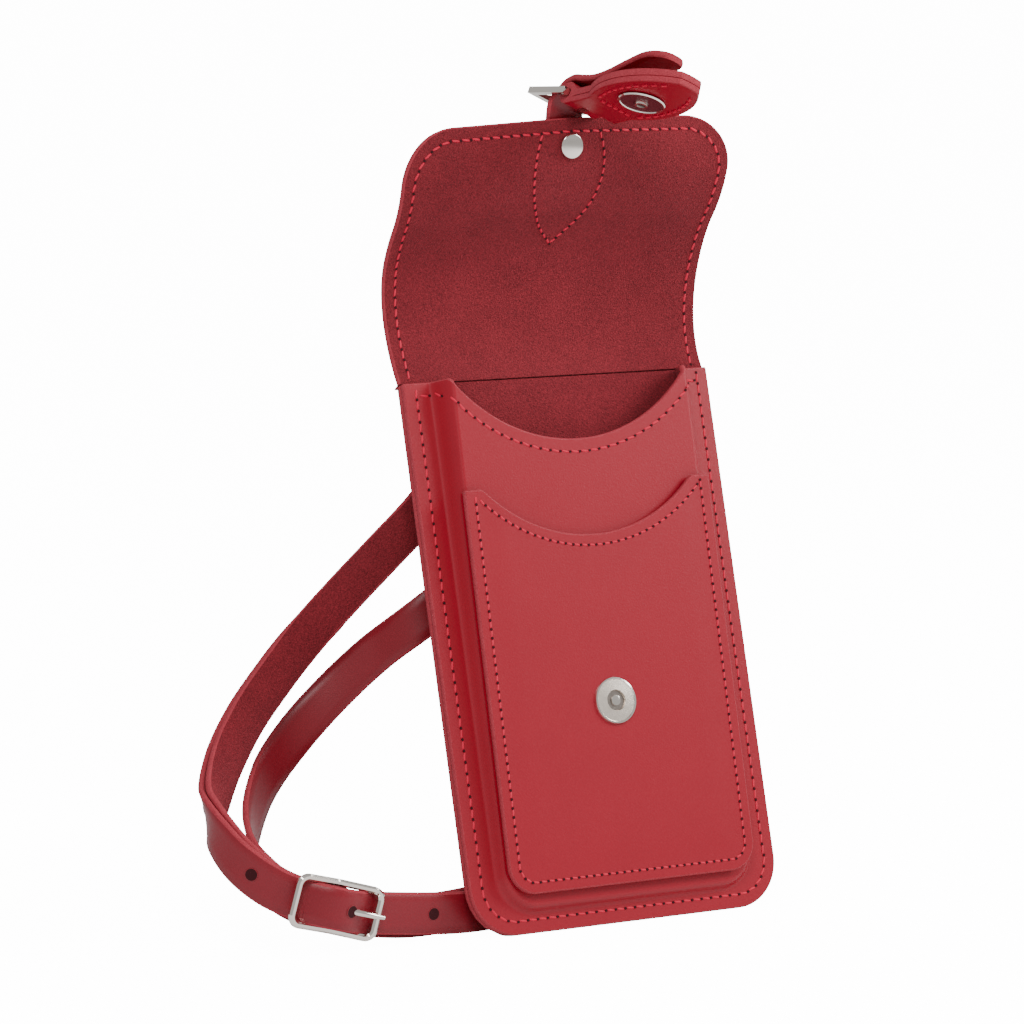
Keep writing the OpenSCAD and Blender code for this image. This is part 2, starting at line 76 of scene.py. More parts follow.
@dataclass
class Signal:
    """A float output of a node tree that can be combined with plain maths."""

    tree: bpy.types.NodeTree
    out: bpy.types.NodeSocket

    def math(self, kind: str, *others: "Signal | float") -> "Signal":
        """Run one maths node.

        Args:
            kind: the maths operation.
            *others: further operands, signals or numbers.

        Returns:
            The node's result.
        """
        node = self.tree.nodes.new("ShaderNodeMath")
        node.operation = kind
        self.tree.links.new(self.out, node.inputs[0])
        for slot, other in enumerate(others, start=1):
            if isinstance(other, Signal):
                self.tree.links.new(other.out, node.inputs[slot])
            else:
                node.inputs[slot].default_value = other
        return Signal(self.tree, node.outputs[0])

    def __add__(self, other: "Signal | float") -> "Signal":
        """Sum."""
        return self.math("ADD", other)

    def __mul__(self, other: "Signal | float") -> "Signal":
        """Product."""
        return self.math("MULTIPLY", other)

    def __sub__(self, other: "Signal | float") -> "Signal":
        """Difference."""
        return self.math("SUBTRACT", other)

    __radd__ = __add__
    __rmul__ = __mul__

    def __rsub__(self, other: float) -> "Signal":
        """Difference with a number first."""
        return self * -1.0 + other

    def span(self, low: float, high: float) -> "Signal":
        """Scale a 0..1 signal to a range.

        Args:
            low: value at 0.
            high: value at 1.

        Returns:
            The scaled signal.
        """
        return self * (high - low) + low


class Shader:
    """Builds one Principled material node by node."""

    def __init__(self, name: str) -> None:
        """Start an empty material.

        Args:
            name: the material's name.
        """
        self.material = bpy.data.materials.new(name)
        self.material.use_nodes = True
        self.tree = self.material.node_tree
        self.bsdf = self.tree.nodes["Principled BSDF"]

    def node(self, kind: str, **inputs: object) -> bpy.types.Node:
        """Add any other node.

        Args:
            kind: the node's type.
            **inputs: values or signals by input name, with _ for a space.

        Returns:
            The new node.
        """
        made = self.tree.nodes.new(kind)
        for key, value in inputs.items():
            socket = made.inputs[key.replace("_", " ")]
            if isinstance(value, Signal):
                self.tree.links.new(value.out, socket)
            elif isinstance(value, bpy.types.NodeSocket):
                self.tree.links.new(value, socket)
            else:
                socket.default_value = value
        return made

    def coords(self) -> bpy.types.NodeSocket:
        """Object coordinates, in metres."""
        return self.node("ShaderNodeTexCoord").outputs["Object"]

    def noise(self, scale: float, detail: float = 4.0, roughness: float = 0.6) -> Signal:
        """Fractal noise over the object.

        Args:
            scale: features per metre.
            detail: octaves.
            roughness: how strong the fine octaves are.

        Returns:
            The noise, about 0 to 1.
        """
        made = self.node("ShaderNodeTexNoise", Vector=self.coords(), Scale=scale, Detail=detail,
                         Roughness=roughness)
        return Signal(self.tree, made.outputs["Fac"])

    def cells(self, scale: float) -> Signal:
        """Distance to the nearest point of a cell pattern."""
        made = self.node("ShaderNodeTexVoronoi", Vector=self.coords(), Scale=scale)
        return Signal(self.tree, made.outputs["Distance"])

    def mix(self, factor: Signal, low: Sequence[float], high: Sequence[float]) -> bpy.types.NodeSocket:
        """Blend two colours.

        Args:
            factor: 0 gives low, 1 gives high.
            low: first colour.
            high: second colour.

        Returns:
            The colour socket.
        """
        made = self.tree.nodes.new("ShaderNodeMix")
        made.data_type = "RGBA"
        self.tree.links.new(factor.out, made.inputs[0])
        made.inputs[6].default_value = (*low, 1)
        made.inputs[7].default_value = (*high, 1)
        return made.outputs[2]

    def bump(self, height: Signal, depth: float) -> None:
        """Raise the surface.

        Args:
            height: relief, about 0 to 1.
            depth: its depth in metres.
        """
        made = self.node("ShaderNodeBump", Height=height, Strength=1.0, Distance=depth)
        self.tree.links.new(made.outputs["Normal"], self.bsdf.inputs["Normal"])

    def put(self, name: str, value: object) -> None:
        """Set or link one Principled input.

        Args:
            name: the input.
            value: a number, colour, signal or socket.
        """
        socket = self.bsdf.inputs[name]
        if isinstance(value, Signal):
            self.tree.links.new(value.out, socket)
        elif isinstance(value, bpy.types.NodeSocket):
            self.tree.links.new(value, socket)
        else:
            socket.default_value = value


@dataclass(frozen=True)
class Leather:
    """A leather surface: smooth grain, rough flesh side or raw cut edge."""

    name: str
    dark: tuple[float, float, float]
    light: tuple[float, float, float]
    roughness: tuple[float, float]
    grain: float
    relief: float
    coat: float = 0.0
    mottle: float = 60.0
    sheen: float = 0.0
    shine: float = 0.28
    contrast: float = 1.0

    def make(self) -> bpy.types.Material:
        """Build the material."""
        s = Shader(self.name)
        cloud = s.noise(self.mottle, 5.0)
        fine = s.noise(self.grain, 6.0, 0.7)
        pores = s.cells(self.grain * 1.3)
        speck = (fine - 0.5) * self.contrast + 0.5
        s.put("Base Color", s.mix((cloud * 0.45 + speck * 0.6).math("MAXIMUM", 0.0), self.dark, self.light))
        s.put("Roughness", fine.span(*self.roughness))
        s.put("Specular IOR Level", self.shine)
        s.put("Coat Weight", self.coat)
        s.put("Coat Roughness", 0.32)
        s.put("Sheen Weight", self.sheen)
        s.put("Sheen Roughness", 0.5)
        s.put("Sheen Tint", (0.9, 0.2, 0.24, 1))
        s.bump(pores * 0.6 + fine * 0.8, self.relief)
        return s.material


@dataclass(frozen=True)
class Metal:
    """Plated metal."""

    name: str
    colour: tuple[float, float, float]
    roughness: float

    def make(self) -> bpy.types.Material:
        """Build the material."""
        s = Shader(self.name)
        s.put("Base Color", (*self.colour, 1))
        s.put("Metallic", 1.0)
        s.put("Roughness", s.noise(900.0).span(self.roughness * 0.75, self.roughness * 1.25))
        return s.material


@dataclass(frozen=True)
class Matt:
    """A plain matt surface such as thread, a hole or the floor."""

    name: str
    colour: tuple[float, float, float]
    roughness: float = 0.8
    grain: float = 2500.0
    relief: float = 0.0

    def make(self) -> bpy.types.Material:
        """Build the material."""
        s = Shader(self.name)
        s.put("Base Color", (*self.colour, 1))
        s.put("Roughness", self.roughness)
        s.put("Specular IOR Level", 0.25)
        if self.relief:
            s.bump(s.noise(self.grain), self.relief)
        return s.material


@dataclass(frozen=True)
class Floor:
    """A white studio floor that glows only where the camera sees it, so shadows stay faint."""

    name: str
    glow: float = 14.0

    def make(self) -> bpy.types.Material:
        """Build the material."""
        s = Shader(self.name)
        s.put("Base Color", (0.9, 0.9, 0.9, 1))
        s.put("Roughness", 0.8)
        seen = Signal(s.tree, s.node("ShaderNodeLightPath").outputs["Is Camera Ray"])
        s.put("Emission Color", s.mix(seen, (0, 0, 0), (1, 1, 1)))
        s.put("Emission Strength", self.glow)
        return s.material


@dataclass
class Finishes:
    """Every material of the pouch, made once."""

    grain: bpy.types.Material = field(init=False)
    flesh: bpy.types.Material = field(init=False)
    edge: bpy.types.Material = field(init=False)
    strap: bpy.types.Material = field(init=False)
    thread: bpy.types.Material = field(init=False)
    painted_hole_shade: bpy.types.Material = field(init=False)
    nickel: bpy.types.Material = field(init=False)
    satin: bpy.types.Material = field(init=False)
    dark: bpy.types.Material = field(init=False)
    stud_face_shade: bpy.types.Material = field(init=False)
    floor: bpy.types.Material = field(init=False)

    def __post_init__(self) -> None:
        """Make them."""
        self.grain = Leather("grain_leather", (0.25, 0.0025, 0.012), (0.33, 0.0045, 0.018), (0.32, 0.44),
                             1500.0, 0.00003, coat=0.2).make()
        self.flesh = Leather("flesh_leather", (0.075, 0.002, 0.005), (0.27, 0.018, 0.028), (0.85, 0.98),
                             1900.0, 0.0004, mottle=90.0, sheen=0.25, contrast=4.2).make()
        self.edge = Leather("raw_edge", (0.24, 0.012, 0.022), (0.50, 0.060, 0.080), (0.75, 0.95),
                            2200.0, 0.0003, mottle=400.0, contrast=2.2).make()
        self.strap = Leather("strap_leather", (0.15, 0.003, 0.009), (0.25, 0.008, 0.018), (0.32, 0.48),
                             1500.0, 0.00004, coat=0.25).make()
        self.thread = Matt("waxed_thread", (0.62, 0.012, 0.045), 0.55, relief=0.0001).make()
        # painted shade: near-black colour standing in for the shade inside needle holes and strap holes, which are
        # discs laid on the leather
        self.painted_hole_shade = Matt("painted_needle_hole_shade", (0.035, 0.003, 0.005), 0.9).make()
        self.nickel = Metal("polished_nickel", (0.80, 0.74, 0.68), 0.11).make()
        self.satin = Metal("satin_nickel", (0.95, 0.84, 0.73), 0.26).make()
        self.dark = Metal("shadowed_nickel", (0.22, 0.19, 0.17), 0.35).make()
        # painted shade: the snap stud's face is a dark red matt colour in place of lit metal
        self.stud_face_shade = Matt("painted_stud_face_shade", (0.10, 0.012, 0.018), 0.45).make()
        self.floor = Floor("studio_floor").make()

    def leather(self) -> list[bpy.types.Material]:
        """The three slots of a leather sheet, in Face order."""
        return [self.grain, self.flesh, self.edge]

    def strip(self) -> list[bpy.types.Material]:
        """The three slots of a strap, in Face order."""
        return [self.strap, self.flesh, self.edge]


# ---------------------------------------------------------------- geometry


def mesh_object(name: str, points: np.ndarray, faces: Sequence[Sequence[int]], slots: Sequence[int],
                materials: Sequence[bpy.types.Material], smooth: bool = True) -> bpy.types.Object:
    """Make a mesh object from arrays.

    Args:
        name: object name.
        points: one row of x, y, z per vertex, in metres.
        faces: vertex indices of each polygon.
        slots: material slot of each polygon.
        materials: the slots' materials.
        smooth: shade smooth.

    Returns:
        The linked object.
    """
    mesh = bpy.data.meshes.new(name)
    mesh.from_pydata([tuple(p) for p in points.tolist()], [], [tuple(f) for f in faces])
    for material in materials:
        mesh.materials.append(material)
    mesh.polygons.foreach_set("material_index", np.array(slots, dtype=np.int32))
    mesh.polygons.foreach_set("use_smooth", np.full(len(faces), smooth, dtype=bool))
    mesh.validate()
    mesh.update()
    made = bpy.data.objects.new(name, mesh)
    bpy.context.scene.collection.objects.link(made)
    return made


def smooth_by_angle(obj: bpy.types.Object, degrees: float = 40.0) -> None:
    """Shade smooth but keep sharper edges than the angle.

    Args:
        obj: the object.
        degrees: the angle.
    """
    bpy.ops.object.select_all(action="DESELECT")
    obj.select_set(True)
    bpy.context.view_layer.objects.active = obj
    bpy.ops.object.shade_smooth_by_angle(angle=math.radians(degrees))
    obj.select_set(False)


def unit(v: np.ndarray) -> np.ndarray:
    """Rows scaled to length one."""
    return v / np.maximum(np.linalg.norm(v, axis=-1, keepdims=True), 1e-12)


def grid_normals(p: np.ndarray) -> np.ndarray:
    """Unit normals of a grid of points.

    Args:
        p: rows x columns x 3 points.

    Returns:
        One normal per point, along (columns x rows).
    """
    return unit(np.cross(np.gradient(p, axis=1), np.gradient(p, axis=0)))


def leather_sheet(name: str, face: np.ndarray, thickness: float, materials: Sequence[bpy.types.Material],
                  ease: float = 0.45 * MM) -> bpy.types.Object:
    """A closed sheet of leather from a grid of points on its outer face, with eased edges.

    Args:
        name: object name.
        face: rows x columns x 3 points of the outer face.
        thickness: leather thickness in metres.
        materials: grain, flesh and edge.
        ease: how far the cut edge is rounded over.

    Returns:
        The sheet.
    """
    rows, cols = face.shape[:2]
    normal = grid_normals(face)
    inner = face - normal * thickness
    rim = [(0, j) for j in range(cols)] + [(i, cols - 1) for i in range(1, rows)]
    rim += [(rows - 1, j) for j in range(cols - 2, -1, -1)] + [(i, 0) for i in range(rows - 2, 0, -1)]
    ids = np.array([i * cols + j for i, j in rim])
    count = rows * cols
    flat, under, nrm = face.reshape(-1, 3), inner.reshape(-1, 3), normal.reshape(-1, 3)
    ring = flat[ids]
    away = unit(np.cross(np.roll(ring, -1, 0) - np.roll(ring, 1, 0), nrm[ids]))
    centre = flat.mean(0)
    if ((ring - centre) * away).sum() < 0:
        away = -away
    layers = [ring + away * ease - nrm[ids] * ease, ring + away * ease - nrm[ids] * (thickness - ease)]
    points = np.concatenate([flat, under, *layers])
    faces, slots = [], []
    for i in range(rows - 1):
        for j in range(cols - 1):
            a = i * cols + j
            faces.append((a, a + 1, a + cols + 1, a + cols))
            slots.append(Face.GRAIN.value)
            b = a + count
            faces.append((b, b + cols, b + cols + 1, b + 1))
            slots.append(Face.FLESH.value)
    n = len(ids)
    loops = [ids, 2 * count + np.arange(n), 2 * count + n + np.arange(n), ids + count]
    for low, high in zip(loops, loops[1:]):
        for k in range(n):
            m = (k + 1) % n
            faces.append((int(low[k]), int(high[k]), int(high[m]), int(low[m])))
            slots.append(Face.EDGE.value)
    made = mesh_object(name, points, faces, slots, materials)
    fix_normals(made)
    smooth_by_angle(made, 50)
    return made


def fix_normals(obj: bpy.types.Object) -> None:
    """Turn every polygon outwards."""
    bpy.ops.object.select_all(action="DESELECT")
    obj.select_set(True)
    bpy.context.view_layer.objects.active = obj
    bpy.ops.object.mode_set(mode="EDIT")
    bpy.ops.mesh.select_all(action="SELECT")
    bpy.ops.mesh.normals_make_consistent(inside=False)
    bpy.ops.object.mode_set(mode="OBJECT")
    obj.select_set(False)


def eased(n: int, fine: float = 0.012) -> np.ndarray:
    """Samples from -1 to 1 with extra ones by each end.

    Args:
        n: samples over the middle.
        fine: share of the half width that the extra samples cover.

    Returns:
        The samples.
    """
    side = 1 - np.array([0, 0.12, 0.4]) * fine
    return np.concatenate([-side, np.linspace(-1 + fine, 1 - fine, n), side[::-1]])


def resample(path: np.ndarray, pitch: float) -> tuple[np.ndarray, np.ndarray]:
    """Points at an even pitch along a flat path, and the direction at each.

    Args:
        path: rows of two coordinates.
        pitch: spacing.

    Returns:
        The points and unit directions.
    """
    step = np.linalg.norm(np.diff(path, axis=0), axis=1)
    run = np.concatenate([[0], np.cumsum(step)])
    count = max(1, round(run[-1] / pitch))
    at = (np.arange(count) + 0.5) * run[-1] / count
    here = np.stack([np.interp(at, run, path[:, k]) for k in (0, 1)], 1)
    ahead = np.stack([np.interp(np.minimum(at + 0.05, run[-1]), run, path[:, k]) for k in (0, 1)], 1)
    behind = np.stack([np.interp(np.maximum(at - 0.05, 0), run, path[:, k]) for k in (0, 1)], 1)
    return here, unit(ahead - behind)


def arc(cx: float, cy: float, r: float, a0: float, a1: float, n: int = 14) -> np.ndarray:
    """Points of a circular arc.

    Args:
        cx: centre, first coordinate.
        cy: centre, second coordinate.
        r: radius.
        a0: first angle in degrees.
        a1: last angle in degrees.
        n: number of points.

    Returns:
        Rows of two coordinates.
    """
    a = np.radians(np.linspace(a0, a1, n))
    return np.stack([cx + r * np.cos(a), cy + r * np.sin(a)], 1)


Surface = Callable[[np.ndarray, np.ndarray], np.ndarray]


@dataclass
class Seam:
    """A row of thread stitches with needle holes, laid along paths on a surface; each hole is a disc of painted shade.
    """

    name: str
    surface: Surface
    pitch: float
    side: float = 1.0
    slant: float = 9.0
    width: float = 0.36

    def capsule(self) -> tuple[np.ndarray, list[tuple[int, ...]]]:
        """A stitch of unit half length lying along x, and its faces."""
        rings, around = 7, 7
        points = [(-1.0, 0.0, 0.0)]
        for i in range(1, rings):
            a = math.pi * i / rings
            r = math.sin(a) ** 0.55
            for k in range(around):
                b = 2 * math.pi * k / around
                points.append((-math.cos(a), r * math.cos(b), r * math.sin(b)))
        points.append((1.0, 0.0, 0.0))
        faces = [(0, 1 + (k + 1) % around, 1 + k) for k in range(around)]
        for i in range(rings - 2):
            base = 1 + i * around
            for k in range(around):
                m = (k + 1) % around
                faces.append((base + k, base + m, base + around + m, base + around + k))
        base = 1 + (rings - 2) * around
        faces += [(base + k, base + (k + 1) % around, len(points) - 1) for k in range(around)]
        return np.array(points), faces

    def build(self, paths: Sequence[np.ndarray], materials: Sequence[bpy.types.Material]) -> bpy.types.Object:
        """Stitch along every path.

        Args:
            paths: flat paths in the surface's own millimetre coordinates.
            materials: thread and the painted shade of the holes.

        Returns:
            One object with all the stitches and the painted-shade hole discs.
        """
        shape, faces = self.capsule()
        all_points, all_faces, slots = [], [], []
        base = 0
        for path in paths:
            here, way = resample(path, self.pitch)
            p = self.surface(here[:, 0], here[:, 1])
            t = unit(self.surface(here[:, 0] + way[:, 0] * 0.2, here[:, 1] + way[:, 1] * 0.2) - p)
            s = unit(self.surface(here[:, 0] - way[:, 1] * 0.2, here[:, 1] + way[:, 0] * 0.2) - p)
            n = unit(np.cross(t, s)) * self.side
            s = np.cross(n, t)
            a = math.radians(self.slant)
            tt, ss = t * math.cos(a) + s * math.sin(a), s * math.cos(a) - t * math.sin(a)
            for k in range(len(p)):
                half = self.pitch * 0.40 * MM
                w = self.width * MM
                q = p[k] + n[k] * 0.02 * MM + shape[:, :1] * tt[k] * half + shape[:, 1:2] * ss[k] * w \
                    + shape[:, 2:] * n[k] * w * 0.75
                all_points.append(q)
                all_faces += [tuple(base + i for i in f) for f in faces]
                slots += [0] * len(faces)
                base += len(q)
                # needle hole: a disc in the painted hole shade, from 0.03 mm over the leather to 0.27 mm under it
                ring = np.linspace(0, 2 * math.pi, 9)[:-1]
                mid = p[k] + t[k] * self.pitch * 0.5 * MM + n[k] * 0.03 * MM
                disc = mid + np.cos(ring)[:, None] * t[k] * 0.42 * MM + np.sin(ring)[:, None] * s[k] * 0.36 * MM
                low = disc - n[k] * 0.3 * MM
                all_points += [disc, low]
                all_faces.append(tuple(base + i for i in range(8)))
                all_faces.append(tuple(base + 8 + i for i in range(7, -1, -1)))
                all_faces += [(base + i, base + 8 + i, base + 8 + (i + 1) % 8, base + (i + 1) % 8) for i in range(8)]
                slots += [1] * 10
                base += 16
        made = mesh_object(self.name, np.concatenate(all_points), all_faces, slots, materials)
        fix_normals(made)
        smooth_by_angle(made, 60)
        return made


# ---------------------------------------------------------------- pouch shape


@dataclass(frozen=True)
class PouchShape:
    """Sizes of the pouch in millimetres, and its surfaces in the row frame."""

    lean: float = math.radians(15)
    leather: float = 2.0
    half: float = 52.0
    height: float = 161.0
    corner: float = 14.0
    front_half: float = 44.0
    front_foot: float = 5.0
    front_corner: float = 12.0
    front_rise: float = 3.0
    front_slope: float = 0.028
    scoop_half: float = 41.0
    scoop_depth: float = 20.0
    card_half: float = 41.5
    card_foot: float = 11.0
    card_top: float = 127.5
    card_corner: float = 8.0
    card_room: float = 0.6
    card_scoop_half: float = 36.0
    card_scoop_depth: float = 15.2
    snap_height: float = 63.5

    def world(self, x: np.ndarray, h: np.ndarray, n: np.ndarray) -> np.ndarray:
        """Row-frame points, in metres, of pouch coordinates.

        Args:
            x: across, in mm.
            h: up the panel, in mm.
            n: out of the front, in mm.

        Returns:
            Points with a last axis of three.
        """
        c, s = math.cos(self.lean), math.sin(self.lean)
        x, h, n = np.broadcast_arrays(np.asarray(x, float), np.asarray(h, float), np.asarray(n, float))
        back = 2 * self.leather
        return np.stack([x, h * s - (n + back) * c, h * c + (n + back) * s], -1) * MM

    @staticmethod
    def scoop(half: float, depth: float) -> float:
        """Radius of a scooped edge from its half width and depth."""
        return (half * half + depth * depth) / (2 * depth)

    def top(self, x: np.ndarray) -> np.ndarray:
        """Height of the front panel's top edge."""
        r = self.scoop(self.scoop_half, self.scoop_depth)
        dip = np.sqrt(np.maximum(r * r - x * x, 0)) - (r - self.scoop_depth)
        return self.height - np.maximum(dip, 0)

    def card_edge(self, x: np.ndarray) -> np.ndarray:
        """Height of the card pocket's top edge."""
        r = self.scoop(self.card_scoop_half, self.card_scoop_depth)
        dip = np.sqrt(np.maximum(r * r - x * x, 0)) - (r - self.card_scoop_depth)
        return self.card_top - np.maximum(dip, 0)

    def inside(self, x: np.ndarray, h: np.ndarray, half: float, foot: float, r: float) -> np.ndarray:
        """Distance inside a panel that is open at its top.

        Args:
            x: across.
            h: up.
            half: half width.
            foot: lower edge.
            r: lower corner radius.

        Returns:
            Millimetres inside the outline, negative outside.
        """
        dx = half - np.abs(x)
        dh = h - foot
        corner = r - np.hypot(np.maximum(r - dx, 0), np.maximum(r - dh, 0))
        return np.where((dx < r) & (dh < r), corner, np.minimum(dx, dh))

    def rise(self, x: np.ndarray, h: np.ndarray) -> np.ndarray:
        """How far the moulded front stands out."""
        full = self.front_rise + self.front_slope * (h - self.front_foot)
        d = np.clip(self.inside(x, h, self.front_half, self.front_foot, self.front_corner) / (1.6 + 0.35 * full), 0, 1)
        return full * d * d * (3 - 2 * d)

    def front(self, x: np.ndarray, h: np.ndarray) -> np.ndarray:
        """Outer face of the front panel."""
        return self.world(x, h, self.rise(x, h))

    def card(self, x: np.ndarray, h: np.ndarray) -> np.ndarray:
        """Outer face of the card pocket, a little full over the cards."""
        full = self.front_rise + self.front_slope * (h - self.front_foot)
        d = np.clip(self.inside(x, h, self.card_half, self.card_foot, self.card_corner) / 9 - 0.35, 0, 1)
        return self.world(x, h, full + self.card_room + self.leather + 0.1 * d * d * (3 - 2 * d))

    def panel_grid(self, half: float, foot: float, corner: float, edge: Callable[[np.ndarray], np.ndarray],
                   top: float, cols: int, rows: int) -> tuple[np.ndarray, np.ndarray]:
        """Even coordinates over a panel with round lower corners and a shaped top.

        Args:
            half: half width.
            foot: lower edge.
            corner: lower corner radius.
            edge: height of the top edge at x.
            top: greatest height.
            cols: columns.
            rows: rows.

        Returns:
            x and h grids.
        """
        u = eased(cols)
        v = (eased(rows, 0.008) + 1) / 2
        v = np.concatenate([v[:1], v[1:]])
        h0 = v * (top - foot)
        low = np.maximum(corner - h0, 0)
        width = half - corner + np.sqrt(np.maximum(corner * corner - low * low, 0))
        x = u[None, :] * width[:, None]
        h = foot + h0[:, None] * (edge(x) - foot) / (top - foot)
        return x, h


@dataclass(frozen=True)
class FlapShape:
    """The open flap: two bends that meet at a common tangent, twisted a little."""

    pouch: PouchShape
    a0: float = math.radians(33)
    a1: float = math.radians(-37)
    a2: float = math.radians(8)
    low: float = 50.0
    high: float = 31.0
    twist: float = 3.0
    droop: float = 3.0
    corner: float = 16.0

    @property
    def length(self) -> float:
        """Length along the profile in mm."""
        return self.low + self.high

    def profile(self, s: np.ndarray) -> tuple[np.ndarray, np.ndarray, np.ndarray]:
        """Middle of the leather at distances along the profile.

        Args:
            s: distance from the back panel's top, in mm.

        Returns:
            y, z in mm and the tangent's angle from upright.
        """
        base = self.pouch.world(0.0, self.pouch.height + 0.5, -3.0) / MM
        r1 = self.low / (self.a0 - self.a1)
        r2 = self.high / (self.a2 - self.a1)
        a = np.where(s < self.low, self.a0 - s / r1, self.a1 + (s - self.low) / r2)
        y = base[1] + r1 * (np.cos(np.maximum(a, self.a1)) - math.cos(self.a0))
        z = base[2] + r1 * (math.sin(self.a0) - np.sin(a))
        y1 = base[1] + r1 * (math.cos(self.a1) - math.cos(self.a0))
        z1 = base[2] + r1 * (math.sin(self.a0) - math.sin(self.a1))
        y = np.where(s < self.low, y, y1 - r2 * (np.cos(a) - math.cos(self.a1)))
        z = np.where(s < self.low, z, z1 + r2 * (np.sin(a) - math.sin(self.a1)))
        return y, z, a

    def half(self, s: np.ndarray) -> np.ndarray:
        """Half width along the profile, with round top corners."""
        wide = 52 + 2 * np.clip(s / self.length, 0, 1) ** 1.5
        up = np.clip(s - (self.length - self.corner), 0, self.corner)
        return wide - self.corner + np.sqrt(np.maximum(self.corner ** 2 - up ** 2, 0))

    def at(self, x: np.ndarray, s: np.ndarray, out: float) -> np.ndarray:
        """A point of the flap.

        Args:
            x: across, in mm.
            s: along the profile from the back panel's top; negative is down the back panel.
            out: height over the middle of the leather, to the front.

        Returns:
            Row-frame points in metres.
        """
        x, s = np.broadcast_arrays(np.asarray(x, float), np.asarray(s, float))
        y, z, a = self.profile(np.maximum(s, 0))
        turn = np.clip(s / 42, 0, 1)
        y = y - x / 54 * self.twist * turn * turn * (3 - 2 * turn)
        z = z - self.droop * np.maximum(-x / 54, 0) * turn * turn
        p = np.stack([x, y - out * np.cos(a), z + out * np.sin(a)], -1) * MM
        d = self.pouch.world(x, self.pouch.height + 0.5 + s, -3.0 + out)
        ease = np.clip((s + 2) / 4, 0, 1)[..., None]
        return np.where(s[..., None] < 0, d, p) * ease + d * (1 - ease)

    def front(self, x: np.ndarray, s: np.ndarray) -> np.ndarray:
        """Flesh side, facing forward."""
        return self.at(x, s, 1.0)


@dataclass
class Pocket:
    """The sewn pouch body with its card pocket and snap socket."""

    shape: PouchShape
    flap: FlapShape
    finishes: Finishes

    def build(self) -> None:
        """Model every leather layer of the pocket."""
        s = self.shape
        x, h = s.panel_grid(s.half, 0, s.corner, s.top, s.height, 190, 230)
        front = leather_sheet("front_leather", s.front(x, h), s.leather * MM, self.finishes.leather())
        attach(front, "pocket")
        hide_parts("front_panel")
        x, h = s.panel_grid(s.card_half, s.card_foot, s.card_corner, s.card_edge, s.card_top, 90, 120)
        card = leather_sheet("card_leather", s.card(x, h), s.leather * MM, self.finishes.leather())
        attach(card, "pocket")
        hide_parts("card_pocket")
        self.back()
        self.seams()

    def back(self) -> None:
        """Back panel and flap cut from one piece that bends over the pocket's mouth."""
        s, f = self.shape, self.flap
        u = eased(70)
        down = -(s.height + 0.5) * (1 - (eased(60, 0.008) + 1) / 2)
        up = f.length * (eased(110, 0.008) + 1) / 2
        run = np.concatenate([down[:-1], up])
        h = run + s.height + 0.5
        low = np.maximum(s.corner - h, 0)
        width = np.where(run < 0, s.half - s.corner + np.sqrt(np.maximum(s.corner ** 2 - low ** 2, 0)), f.half(run))
        x = u[None, :] * width[:, None]
        face = f.at(x, np.broadcast_to(run[:, None], x.shape), -1.0)
        back = leather_sheet("back_and_flap_leather", face[:, ::-1], s.leather * MM, self.finishes.leather())
        start = s.world(0.0, s.height - 4, -3.0)
        end = f.at(np.array(0.0), np.array(14.0), 0.0)
        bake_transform(back)
        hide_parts("back_panel", "flap")

    def seams(self) -> None:
        """Thread around the pouch, along its mouth and around the card pocket."""
        s = self.shape
        inset = 3.5
        edge, bend = s.half - inset, s.corner - inset
        r = s.scoop(s.scoop_half, s.scoop_depth)
        cy = s.height - s.scoop_depth + r
        swing = math.degrees(math.acos((cy - s.height + inset) / (r + inset)))
        outer = np.concatenate([[[-edge, s.height - 1.2]], arc(s.corner - s.half, s.corner, bend, 180, 270),
                                arc(s.half - s.corner, s.corner, bend, 270, 360), [[edge, s.height - 1.2]]])
        mouth = np.concatenate([[[-edge + 1, s.height - inset]], arc(0, cy, r + inset, 270 - swing, 270 + swing, 60),
                                [[edge - 1, s.height - inset]]])
        row = Seam("pocket_seam", s.front, 3.3, side=-1).build([outer, mouth], [self.finishes.thread, self.finishes.painted_hole_shade])
        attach(row, "pocket")
        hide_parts("pocket_stitching")
        inset = 2.8
        edge, bend = s.card_half - inset, s.card_corner - inset
        r = s.scoop(s.card_scoop_half, s.card_scoop_depth)
        cy = s.card_top - s.card_scoop_depth + r
        swing = math.degrees(math.acos((cy - s.card_top + inset) / (r + inset)))
        c, foot = s.card_corner, s.card_foot
        outer = np.concatenate([[[-edge, s.card_top - 1.2]], arc(c - s.card_half, foot + c, bend, 180, 270),
                                arc(s.card_half - c, foot + c, bend, 270, 360), [[edge, s.card_top - 1.2]]])
        mouth = np.concatenate([[[-edge + 1, s.card_top - inset]], arc(0, cy, r + inset, 270 - swing, 270 + swing, 60),
                                [[edge - 1, s.card_top - inset]]])
        row = Seam("card_seam", s.card, 2.6, side=-1, width=0.33).build([outer, mouth], [self.finishes.thread, self.finishes.painted_hole_shade])
        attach(row, "pocket")
        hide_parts("card_stitching")


@dataclass
class FlapTrim:
    """Stitching on the flap's flesh side and around the closure patch."""

    flap: FlapShape
    finishes: Finishes

    def build(self) -> None:
        """Sew the flap."""
        f = self.flap
        r = f.corner - 3.5
        top = f.length - 3.5
        k = f.length - f.corner
        edge = np.concatenate([[[-48.6, 1.0], [-49.2, 30]], arc(-54 + f.corner, k, r, 180, 90),
                               arc(54 - f.corner, k, r, 90, 0), [[49.2, 30], [48.6, 1.0]]])
        row = Seam("flap_seam", f.front, 3.3, side=-1).build([edge], [self.finishes.thread, self.finishes.painted_hole_shade])
        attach(row, "flap")
        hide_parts("flap_stitching")
        left = [[-9.5, top], [-11.0, top - 6], [-11.2, top - 13], [-9.4, top - 21], [-5.5, top - 29], [0, top - 36]]
        side = np.array(left)
        fine = smooth_path(side, 6)
        other = fine[::-1] * np.array([-1, 1])
        row = Seam("patch_seam", f.front, 2.6, side=-1, width=0.33).build([np.concatenate([fine, other])],
                                                                        [self.finishes.thread, self.finishes.painted_hole_shade])
        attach(row, "flap")
        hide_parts("patch_stitching")


